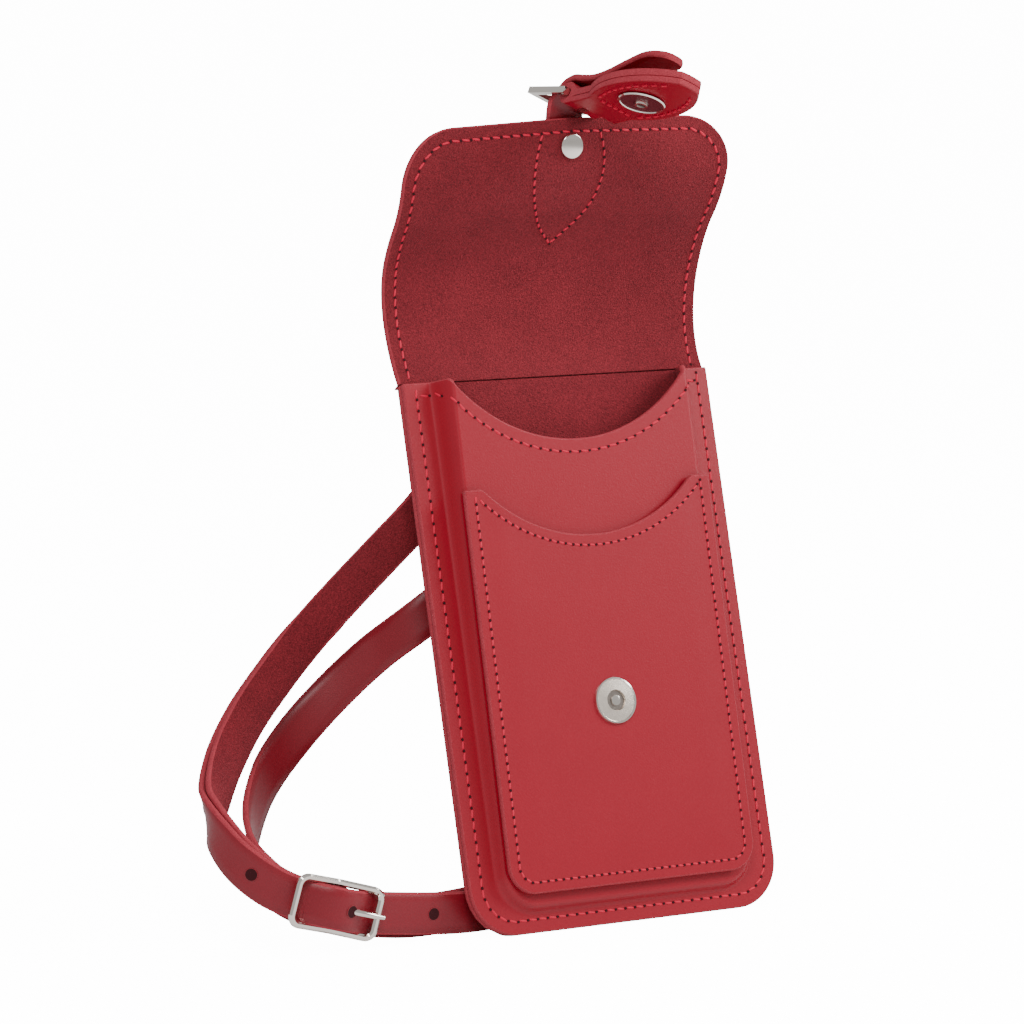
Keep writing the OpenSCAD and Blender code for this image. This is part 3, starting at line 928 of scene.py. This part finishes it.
def smooth_path(points: np.ndarray, n: int) -> np.ndarray:
    """Catmull-Rom curve through rows of points.

    Args:
        points: control points.
        n: steps between two of them.

    Returns:
        The curve's points.
    """
    p = np.vstack([points[:1], points, points[-1:]])
    t = np.linspace(0, 1, n, endpoint=False)[:, None]
    out = []
    for i in range(1, len(p) - 2):
        a, b, c, d = p[i - 1], p[i], p[i + 1], p[i + 2]
        out.append(0.5 * (2 * b + (c - a) * t + (2 * a - 5 * b + 4 * c - d) * t ** 2 + (3 * b - a - 3 * c + d) * t ** 3))
    return np.vstack([*out, points[-1:]])


@dataclass
class Strip:
    """A leather strap swept along a route, with rounded cut edges."""

    name: str
    width: float = 12.2
    thickness: float = 2.0

    def section(self) -> tuple[np.ndarray, list[int]]:
        """Across and outward offsets of the section, and the slot of each side."""
        w, t, e = self.width / 2, self.thickness / 2, 0.55
        points = [(-w + e, t), (-w / 2, t), (0, t), (w / 2, t), (w - e, t), (w, t - e), (w, e - t),
                  (w - e, -t), (0, -t), (-w + e, -t), (-w, e - t), (-w, t - e)]
        slots = [0, 0, 0, 0, 2, 2, 2, 1, 1, 2, 2, 2]
        return np.array(points), slots

    def build(self, centre: np.ndarray, across: np.ndarray, materials: Sequence[bpy.types.Material],
              tip: float = 0.0) -> bpy.types.Object:
        """Sweep the strap.

        Args:
            centre: route points in mm.
            across: width direction at each.
            materials: grain, flesh and edge.
            tip: length over which the start narrows to a rounded end, in mm.

        Returns:
            The strap.
        """
        shape, sides = self.section()
        along = unit(np.gradient(centre, axis=0))
        across = unit(across - (across * along).sum(1, keepdims=True) * along)
        out = np.cross(along, across)
        run = np.concatenate([[0], np.cumsum(np.linalg.norm(np.diff(centre, axis=0), axis=1))])
        narrow = np.ones(len(run))
        if tip:
            d = np.clip(run / tip, 0, 1)
            narrow = 0.25 + 0.75 * np.sqrt(1 - (1 - d) ** 2)
        rings = centre[:, None] + across[:, None] * shape[None, :, :1] * narrow[:, None, None] \
            + out[:, None] * shape[None, :, 1:]
        m, n = len(shape), len(centre)
        faces, slots = [], []
        for i in range(n - 1):
            for k in range(m):
                q = (k + 1) % m
                faces.append((i * m + k, i * m + q, (i + 1) * m + q, (i + 1) * m + k))
                slots.append(sides[k])
        faces += [tuple(range(m)), tuple(range((n - 1) * m, n * m))[::-1]]
        slots += [2, 2]
        made = mesh_object(self.name, rings.reshape(-1, 3) * MM, faces, slots, materials)
        fix_normals(made)
        smooth_by_angle(made, 50)
        return made


@dataclass
class Studio:
    """Floor, light and camera."""

    finishes: Finishes
    azimuth: float = -31.0
    elevation: float = 7.0
    distance: float = 1.4
    target: tuple[float, float, float] = (-0.0287, 0.01614, 0.1204)
    lens: float = 170.4

    def camera(self) -> None:
        """Place the camera."""
        a, e = math.radians(self.azimuth), math.radians(self.elevation)
        away = Vector((math.sin(a) * math.cos(e), -math.cos(a) * math.cos(e), math.sin(e)))
        place = Vector(self.target) + away * self.distance
        bpy.ops.object.camera_add(location=place, rotation=(away.to_track_quat("Z", "Y")).to_euler())
        made = bpy.context.object
        made.name = "camera"
        made.data.lens = self.lens
        made.data.sensor_width = 36
        made.data.clip_start = 0.05
        made.data.clip_end = 30
        bpy.context.scene.camera = made

    def lamp(self, name: str, place: Sequence[float], size: float, power: float) -> None:
        """Add a soft square lamp aimed at the pouch.

        Args:
            name: lamp name.
            place: position in metres.
            size: side in metres.
            power: watts.
        """
        aim = Vector(place) - Vector(self.target)
        bpy.ops.object.light_add(type="AREA", location=place, rotation=aim.to_track_quat("Z", "Y").to_euler())
        made = bpy.context.object
        made.name = name
        made.data.shape = "SQUARE"
        made.data.size = size
        made.data.energy = power

    def build(self) -> None:
        """Set up the studio."""
        bpy.ops.mesh.primitive_plane_add(size=30, location=(0, 0, 0))
        floor = bpy.context.object
        floor.name = "floor"
        floor.data.materials.append(self.finishes.floor)
        world = bpy.data.worlds.new("studio")
        bpy.context.scene.world = world
        world.use_nodes = True
        world.node_tree.nodes["Background"].inputs["Color"].default_value = (1, 1, 1, 1)
        world.node_tree.nodes["Background"].inputs["Strength"].default_value = 0.55
        self.lamp("key", (-0.55, -0.75, 1.15), 0.5, 12)
        self.lamp("side", (0.85, -0.5, 0.75), 0.6, 12)


# free run of the strap: x, y, z in mm and the direction its width points to
AWAY = [
    (-27, 55, 134, -1, 0, 0.1), (-33, 53.5, 126, -1.5, 0.1, 1), (-43, 50, 117, -0.3, 0.25, 1),
    (-53, 52, 107, 0, 0.25, 1), (-64, 56, 95, 0, 0.25, 1), (-75, 59, 83, 0, 0.25, 1),
    (-86, 58, 72, 0, 0.25, 1), (-97, 55, 61, 0, 0.3, 1), (-107, 49, 50, 0, 0.4, 1),
    (-115, 40, 40, 0, 0.4, 1), (-118, 31.5, 34.5, 0, 0.2, 1), (-116, 23.5, 26.8, 0, 0, 1),
    (-110, 18, 20.0, 0, 0, 1), (-102, 14.7, 15.6, 0, 0, 1), (-93, 12.9, 13.1, 0, 0, 1),
    (-84, 12.0, 10.6, 0, 0, 1), (-70, 11, 8.6, 0, 0, 1), (-56, 10.5, 7.1, 0, 0, 1),
    (-42, 12, 6.5, 0, 0, 1), (-24, 18, 6.5, 0, 0, 1), (-6, 24, 6.5, 0, 0, 1),
    (14, 28, 6.5, 0, 0, 1), (32, 36, 6.5, 0, 0, 1), (38, 48, 6.5, 0, 0, 1),
    (28, 58, 6.5, 0, 0, 1), (8, 56, 6.5, 0, 0, 1), (-10, 42, 6.5, 0, 0, 1),
    (-24, 29, 6.5, 0, 0, 1), (-40, 19.5, 6.5, 0, 0, 1)]
HOME = [
    (-54, 15, 6.5, 0, 0, 1), (-68, 14, 6.7, 0, 0, 1), (-82, 15.4, 8.5, 0, 0, 1),
    (-94, 19.8, 11, 0, 0, 1), (-102, 26, 15.5, 0, 0.1, 1), (-105, 36, 23, 0, 0.2, 1),
    (-100, 47, 32, 0, 0.3, 1), (-90, 57, 42.5, 0, 0.3, 1), (-78, 62, 53, 0, 0.3, 1),
    (-66, 62, 64, 0, 0.3, 1), (-54, 57, 76, 0, 0.3, 1), (-42, 49, 87, 0, 0.3, 1),
    (-22, 47, 100, 0, 0.3, 1), (2, 49, 111, 0, 0.3, 1), (22, 54, 124, -1, 0.3, 1),
    (27, 55, 134, -1, 0, 0.1)]
BUCKLE_AT = 14
TIP_AT = 4


@dataclass
class LongStrap:
    """The shoulder strap lying in a loop, one end through the buckle of the other."""

    shape: PouchShape
    finishes: Finishes
    wrap: float = 2.5
    ring: float = 8.5
    drop: float = math.radians(-57.3)

    def turned(self, side: float) -> np.ndarray:
        """Route around the far bar of a ring.

        Args:
            side: -1 for the left ring, 1 for the right.

        Returns:
            Rows of position and width direction.
        """
        foot = self.shape.world(0.0, 152.0, -7.2) / MM
        a = np.radians(215 - 30 * np.arange(8))
        u, v = self.ring - self.wrap * np.sin(a), self.wrap * np.cos(a)
        c, s = math.cos(self.drop), math.sin(self.drop)
        one = np.ones(len(a))
        return np.stack([side * 27 * one, foot[1] + u * c - v * s, foot[2] + u * s + v * c, -one, 0 * one, 0 * one], 1)

    def set_down(self, route: Sequence[Sequence[float]]) -> np.ndarray:
        """A route moved into the row frame."""
        p = np.array(route, float)
        p[:, 1] -= 2 * self.shape.leather * math.cos(self.shape.lean)
        return p

    def frames(self, run: np.ndarray) -> tuple[np.ndarray, np.ndarray, np.ndarray]:
        """Along, across and outward directions of a route."""
        along = unit(np.gradient(run[:, :3], axis=0))
        across = unit(run[:, 3:])
        across = unit(across - (across * along).sum(1, keepdims=True) * along)
        return along, across, np.cross(along, across)

    def build(self) -> None:
        """Model both straps and their holes."""
        steps = 8
        out = np.vstack([self.turned(-1), self.set_down(AWAY)])
        whole = smooth_path(np.vstack([out, self.set_down(HOME), self.turned(1)[::-1]]), steps)
        bar = (8 + BUCKLE_AT) * steps
        along, across, outward = self.frames(whole)
        run = np.concatenate([[0], np.cumsum(np.linalg.norm(np.diff(whole[:, :3], axis=0), axis=1))])
        d = run - run[bar]
        lift = np.where(d < -13, 2.4, 2.4 + 4.7 * np.cos(np.clip(d / 13, -1, 1) * math.pi / 2) ** 2)
        lift = np.where(d > 13, np.clip(2.4 - (d - 13) * 0.12, 0, 2.4), lift)
        tip = (8 + TIP_AT) * steps
        outer = whole[:, :3] + outward * lift[:, None]
        tongue = Strip("tongue_strap_leather").build(outer[tip:], across[tip:], self.finishes.strip(), tip=9)
        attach(tongue, "strap")
        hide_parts("strap_tongue")
        inner = whole[:bar - 3]
        buckle = Strip("buckle_strap_leather").build(inner[:, :3], across[:bar - 3], self.finishes.strip())
        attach(buckle, "strap")
        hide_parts("strap_buckle_end")
        self.fold(whole[bar, :3] + outward[bar] * 2.4, along[bar], across[bar], outward[bar])
        spots = [int(np.argmin(np.abs(d - at))) for at in (-75, -50, -24, 3.5, 33, 60)]
        course = unit(np.gradient(outer, axis=0))
        wide = unit(across - (across * course).sum(1, keepdims=True) * course)
        self.holes(outer[spots], wide[spots], np.cross(course, wide)[spots])

    def fold(self, bar: np.ndarray, along: np.ndarray, across: np.ndarray, out: np.ndarray) -> None:
        """The buckle strap's end folded round the buckle's middle bar.

        Args:
            bar: middle of the bar, in mm.
            along: direction of the strap.
            across: its width direction.
            out: away from the loop.
        """
        a = np.radians(np.arange(-90, 91, 15))
        turn = [bar + along * 2.45 * math.cos(k) + out * 2.45 * math.sin(k) for k in a]
        path = [bar - along * 13 - out * 2.4, bar - along * 6 - out * 2.45, *turn, bar - along * 5 + out * 2.3,
                bar - along * 9 + out * 1.1]
        path = smooth_path(np.array(path), 3)
        made = Strip("buckle_fold_leather", width=11.6, thickness=1.6).build(
            path, np.broadcast_to(across, path.shape), self.finishes.strip())
        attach(made, "strap")

    def holes(self, centres: np.ndarray, across: np.ndarray, out: np.ndarray) -> None:
        """Adjusting holes: raised rings on the strap, each with a disc of painted shade where the hole is.

        Args:
            centres: points on the strap's middle line.
            across: width directions.
            out: outward directions.
        """
        points, faces, slots = [], [], []
        ring = np.linspace(0, 2 * math.pi, 25)[:-1]
        n = len(ring)
        for c, w, o in zip(centres, across, out):
            t = np.cross(w, o)
            round_ = np.cos(ring)[:, None] * w + np.sin(ring)[:, None] * t
            base = len(points)
            for r, h in ((2.05, 0.8), (1.95, 1.12), (1.75, 1.16), (1.6, 1.13)):
                points += list(c + round_ * r + o * h)
            for k in range(3):
                for i in range(n):
                    j = (i + 1) % n
                    faces.append((base + k * n + i, base + k * n + j, base + (k + 1) * n + j, base + (k + 1) * n + i))
                    # the ring's inner slope and its floor take the painted hole shade
                    slots.append(0 if k < 2 else 1)
            faces.append(tuple(base + 3 * n + i for i in range(n)))
            faces.append(tuple(base + i for i in range(n - 1, -1, -1)))
            slots += [1, 0]
        made = mesh_object("strap_holes", np.array(points) * MM, faces, slots, [self.finishes.strap, self.finishes.painted_hole_shade])
        fix_normals(made)
        smooth_by_angle(made, 60)
        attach(made, "strap")


@dataclass
class Closure:
    """The closure strap's leather: the run over the buckle, and the tab with its edges."""

    finishes: Finishes
    yaw: float = math.radians(6)
    pitch: float = math.radians(-2)
    roll: float = math.radians(24)
    tab_pitch: float = math.radians(-10)

    def axes(self, tilt: float = 0.0) -> np.ndarray:
        """Across, back and up directions of the closure as columns.

        Args:
            tilt: further pitch, as of the tab.

        Returns:
            A rotation matrix.
        """
        def turn(axis: int, a: float) -> np.ndarray:
            c, s = math.cos(a), math.sin(a)
            i, j = (axis + 1) % 3, (axis + 2) % 3
            m = np.eye(3)
            m[i, i] = m[j, j] = c
            m[i, j], m[j, i] = -s, s
            return m
        return turn(2, self.yaw) @ turn(0, self.pitch) @ turn(1, self.roll) @ turn(0, tilt)

    def bar(self) -> np.ndarray:
        """Middle of the buckle's front bar, in mm."""
        hinge = next(j for j in frame["joints"] if j["name"] == "tab_hinge")
        return np.array(hinge["pos_m"]) / MM

    def build(self) -> None:
        """Model the closure strap and colour the tab's cut edges."""
        m, bar = self.axes(), self.bar()
        local = [(-7.3, -2.3), (-5.4, 0.6), (-3.2, 3.5), (0, 4.9), (4, 4.8), (9, 4.9), (15, 6.4), (22, 9.2),
                 (29, 11.6), (37, 12.6)]
        over = [bar + m @ np.array([0, -a, c]) for a, c in local]
        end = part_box("flap")[1]
        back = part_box("closure_patch")
        y = (back[0].y + 0.001) / MM
        top = end.z / MM
        path = np.array([(0, y + 0.5, top - 9), (0, y + 0.75, top - 5), (0, y + 1.1, top - 0.6), *over])
        wide = np.array([(1, 0, 0)] * 3 + [tuple(m[:, 0])] * len(over))
        both = smooth_path(np.hstack([path, wide]), 7)[::-1]
        made = Strip("closure_strap_leather").build(both[:, :3], both[:, 3:], self.finishes.strip(), tip=8)
        tuple(over[1] * MM)
        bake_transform(made)
        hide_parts("closure_tongue")
        self.tab(self.axes(self.tab_pitch))

    def tab(self, m: np.ndarray) -> None:
        """Softened copies of the tab's two layers with raw cut edges.

        Args:
            m: the tab's axes.
        """
        for node, name in (("tab_outer", "tab_outer_leather"), ("tab_lining", "tab_lining_leather")):
            made = softened(node, name, 0.4 * MM, self.finishes.leather())
            for face in made.data.polygons:
                up = abs(float(np.dot(np.array(face.normal), m[:, 2])))
                face.material_index = Face.GRAIN.value if up > 0.6 else Face.EDGE.value
            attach(made, "tab")
            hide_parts(node)


def softened(node: str, name: str, width: float, materials: Sequence[bpy.types.Material]) -> bpy.types.Object:
    """A copy of a CAD piece with its edges rounded over.

    Args:
        node: the CAD node.
        name: the copy's name.
        width: how far the edges are rounded.
        materials: its materials.

    Returns:
        The copy.
    """
    made = bpy.data.objects.new(name, frame["nodes"][node].data.copy())
    bpy.context.scene.collection.objects.link(made)
    made.data.materials.clear()
    for material in materials:
        made.data.materials.append(material)
    bpy.ops.object.select_all(action="DESELECT")
    made.select_set(True)
    bpy.context.view_layer.objects.active = made
    bpy.ops.object.mode_set(mode="EDIT")
    bpy.ops.mesh.select_all(action="SELECT")
    bpy.ops.mesh.customdata_custom_splitnormals_clear()
    bpy.ops.mesh.remove_doubles(threshold=1e-6)
    bpy.ops.mesh.dissolve_limited(angle_limit=math.radians(1))
    bpy.ops.object.mode_set(mode="OBJECT")
    bevel = made.modifiers.new("soft_edge", "BEVEL")
    bevel.width = width
    bevel.segments = 3
    bevel.limit_method = "ANGLE"
    bevel.angle_limit = math.radians(35)
    bevel.use_clamp_overlap = True
    bpy.ops.object.modifier_apply(modifier=bevel.name)
    smooth_by_angle(made, 45)
    return made


def ring_section(width: float, depth: float, round_: float) -> np.ndarray:
    """A rectangle with cut corners, for a swept metal frame.

    Args:
        width: size across the frame's plane.
        depth: size out of the plane.
        round_: how far each corner is cut.

    Returns:
        Eight points, side by out.
    """
    w, d, r = width / 2, depth / 2, round_
    return np.array([(-w, d - r), (-w + r, d), (w - r, d), (w, d - r), (w, -d + r), (w - r, -d), (-w + r, -d), (-w, -d + r)])


def closed_sweep(name: str, path: np.ndarray, out: np.ndarray, section: np.ndarray,
                 material: bpy.types.Material) -> bpy.types.Object:
    """Sweep a section round a closed path.

    Args:
        name: the object's name.
        path: points in mm.
        out: the direction the frame faces.
        section: points, side by out.
        material: its material.

    Returns:
        The frame.
    """
    along = unit(np.roll(path, -1, 0) - np.roll(path, 1, 0))
    side = unit(np.cross(along, out))
    rise = np.cross(side, along)
    rings = path[:, None] + side[:, None] * section[None, :, :1] + rise[:, None] * section[None, :, 1:]
    n, m = len(path), len(section)
    faces = [(i * m + k, i * m + (k + 1) % m, (i + 1) % n * m + (k + 1) % m, (i + 1) % n * m + k)
             for i in range(n) for k in range(m)]
    made = mesh_object(name, rings.reshape(-1, 3) * MM, faces, [0] * len(faces), [material])
    fix_normals(made)
    smooth_by_angle(made, 40)
    return made


def turned_disc(name: str, centre: np.ndarray, axis: np.ndarray, profile: Sequence[tuple[float, float, int]],
                materials: Sequence[bpy.types.Material]) -> bpy.types.Object:
    """A lathe-turned disc.

    Args:
        name: the object's name.
        centre: its middle in mm.
        axis: the way it faces.
        profile: radius, height and the slot of the band that follows, from the rim's foot inward.
        materials: its materials.

    Returns:
        The disc.
    """
    axis = unit(axis)
    u = unit(np.cross(axis, (0.0, 0.0, 1.0) if abs(axis[2]) < 0.9 else (1.0, 0.0, 0.0)))
    v = np.cross(axis, u)
    a = np.linspace(0, 2 * math.pi, 65)[:-1]
    around = np.cos(a)[:, None] * u + np.sin(a)[:, None] * v
    points = np.concatenate([centre + around * r + axis * h for r, h, _ in profile])
    n, faces, slots = len(a), [], []
    for k, (_, _, slot) in enumerate(profile[:-1]):
        for i in range(n):
            j = (i + 1) % n
            faces.append((k * n + i, k * n + j, (k + 1) * n + j, (k + 1) * n + i))
            slots.append(slot)
    last = len(profile) - 1
    faces += [tuple(last * n + i for i in range(n)), tuple(range(n))[::-1]]
    slots += [profile[-1][2], profile[0][2]]
    made = mesh_object(name, points * MM, faces, slots, materials)
    fix_normals(made)
    smooth_by_angle(made, 30)
    return made


@dataclass
class Hardware:
    """Metal pieces with rounded edges."""

    shape: PouchShape
    closure: "Closure"
    finishes: Finishes

    def build(self) -> None:
        """Round the edges of the closure buckle and the rivets, and make the snap and the strap buckle."""
        plan = {"closure_buckle": ("closure", 0.55), "closure_rivet": ("flap", 0.35), "anchor_rivets": ("pocket", 0.35)}
        for node, (body, width) in plan.items():
            made = softened(node, node + "_metal", width * MM, [self.finishes.nickel])
            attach(made, body)
            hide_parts(node)
        self.snap()
        self.buckle()

    def snap(self) -> None:
        """Both halves of the magnetic snap."""
        s = self.shape
        both = [self.finishes.satin, self.finishes.dark, self.finishes.nickel]
        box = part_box("snap_socket")
        middle = np.array([(box[0][k] + box[1][k]) / 2 for k in range(3)]) / MM
        face = np.array([0, -math.cos(s.lean), math.sin(s.lean)])
        top = np.array([box[0].x, box[0].y, box[0].z]) / MM
        reach = (middle[1] - top[1] - 7.0 * math.sin(s.lean)) / math.cos(s.lean)
        profile = [(6.9, -reach, 2), (6.95, reach - 0.75, 2), (6.75, reach - 0.35, 2), (6.3, reach - 0.3, 2), (6.15, reach - 0.5, 0),
                   (3.1, reach - 0.35, 0), (2.9, reach - 0.9, 1), (1.6, reach - 0.9, 2), (1.5, reach - 0.5, 2), (1.1, reach - 0.45, 2)]
        made = turned_disc("snap_socket_metal", middle, face, profile, both)
        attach(made, "pocket")
        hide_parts("snap_socket")
        m = self.closure.axes(self.closure.tab_pitch)
        centre = self.closure.bar() + m @ np.array([0, -27.3, -5.2])
        # the stud's face between post and rim takes the painted stud-face shade
        profile = [(6.9, 0.4, 2), (6.95, 0.55, 2), (6.7, 0.95, 2), (6.35, 0.95, 2), (6.2, 0.7, 0), (2.0, 0.72, 2), (1.85, 1.5, 2),
                   (1.3, 1.55, 1), (1.1, 1.2, 1), (0.4, 1.2, 1)]
        made = turned_disc("snap_stud_metal", centre, -m[:, 2], profile, [self.finishes.stud_face_shade, self.finishes.dark, self.finishes.nickel])
        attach(made, "tab")
        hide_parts("snap_stud")

    def buckle(self) -> None:
        """The shoulder strap's buckle: a bowed frame with round corners, and its prong."""
        hinge = next(j for j in frame["joints"] if j["name"] == "strap_prong_hinge")
        bar = np.array(hinge["pos_m"]) / MM
        up = unit(-np.array(hinge["axis"], float))
        out = unit(np.array([-0.107, -0.994, 0.0]))
        out = unit(out - up * float(out @ up))
        along = np.cross(up, -out) if float(np.cross(up, -out)[0]) > 0 else np.cross(up, out)
        half, tall, r = 12.9, 6.95, 2.6
        quarter = np.radians(np.arange(0, 91, 15))
        corner = np.stack([half - r + r * np.cos(quarter), tall - r + r * np.sin(quarter)], 1)
        inner = np.linspace(half - r, 0, 8)[1:]
        quad = np.concatenate([np.array([[half, 0.0]]), corner, np.stack([inner, np.full(7, tall)], 1)])
        path = np.concatenate([quad[:-1], quad[::-1][:-1] * (-1, 1), quad[:-1] * (-1, -1), quad[::-1][:-1] * (1, -1)])
        rise = 0.3 + 2.2 * (np.abs(path[:, :1]) / half)
        points = bar + path[:, :1] * along + path[:, 1:] * up + rise * out
        frame_made = closed_sweep("strap_buckle_metal", points, out, ring_section(2.0, 2.0, 0.6), self.finishes.nickel)
        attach(frame_made, "strap")
        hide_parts("strap_buckle")
        tip = bar + along * 14.4 + out * 4.2
        start = bar + along * 3.2 + out * 3.4
        mids = np.array([start + (tip - start) * t + out * 0.9 * math.sin(math.pi * t) for t in np.linspace(0, 1, 9)])
        thick = 0.95 - 0.35 * np.linspace(0, 1, 9) ** 2
        a = np.radians(np.arange(0, 360, 30))
        rings = mids[:, None] + thick[:, None, None] * (np.cos(a)[None, :, None] * up + np.sin(a)[None, :, None] * out)
        m = len(a)
        faces = [(i * m + k, i * m + (k + 1) % m, (i + 1) * m + (k + 1) % m, (i + 1) * m + k) for i in range(8) for k in range(m)]
        faces += [tuple(range(m)), tuple(range(8 * m, 9 * m))[::-1]]
        made = mesh_object("strap_prong_metal", rings.reshape(-1, 3) * MM, faces, [0] * len(faces), [self.finishes.nickel])
        fix_normals(made)
        smooth_by_angle(made, 50)
        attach(made, "strap_prong")
        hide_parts("strap_prong")


def dress_frame(finishes: Finishes) -> None:
    """Give every CAD node that stays visible its material.

    Args:
        finishes: the materials.
    """
    slots = {"red_leather": finishes.grain, "suede_side": finishes.flesh, "thread": finishes.thread,
             "nickel": finishes.nickel, "snap_metal": finishes.satin}
    for part in frame["record"]["subparts"]:
        node = frame["nodes"][part["node"]]
        node.data.materials.clear()
        node.data.materials.append(slots[part["material_slot"]])
        smooth_by_angle(node, 35)


def main() -> None:
    """Build the pouch and its studio."""
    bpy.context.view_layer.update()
    finishes = Finishes()
    shape = PouchShape()
    flap = FlapShape(shape)
    studio = Studio(finishes)
    studio.camera()
    dress_frame(finishes)
    Pocket(shape, flap, finishes).build()
    FlapTrim(flap, finishes).build()
    LongStrap(shape, finishes).build()
    closure = Closure(finishes)
    closure.build()
    Hardware(shape, closure, finishes).build()
    studio.build()
    log.info("pouch built")


if __name__ == "__main__":
    main()
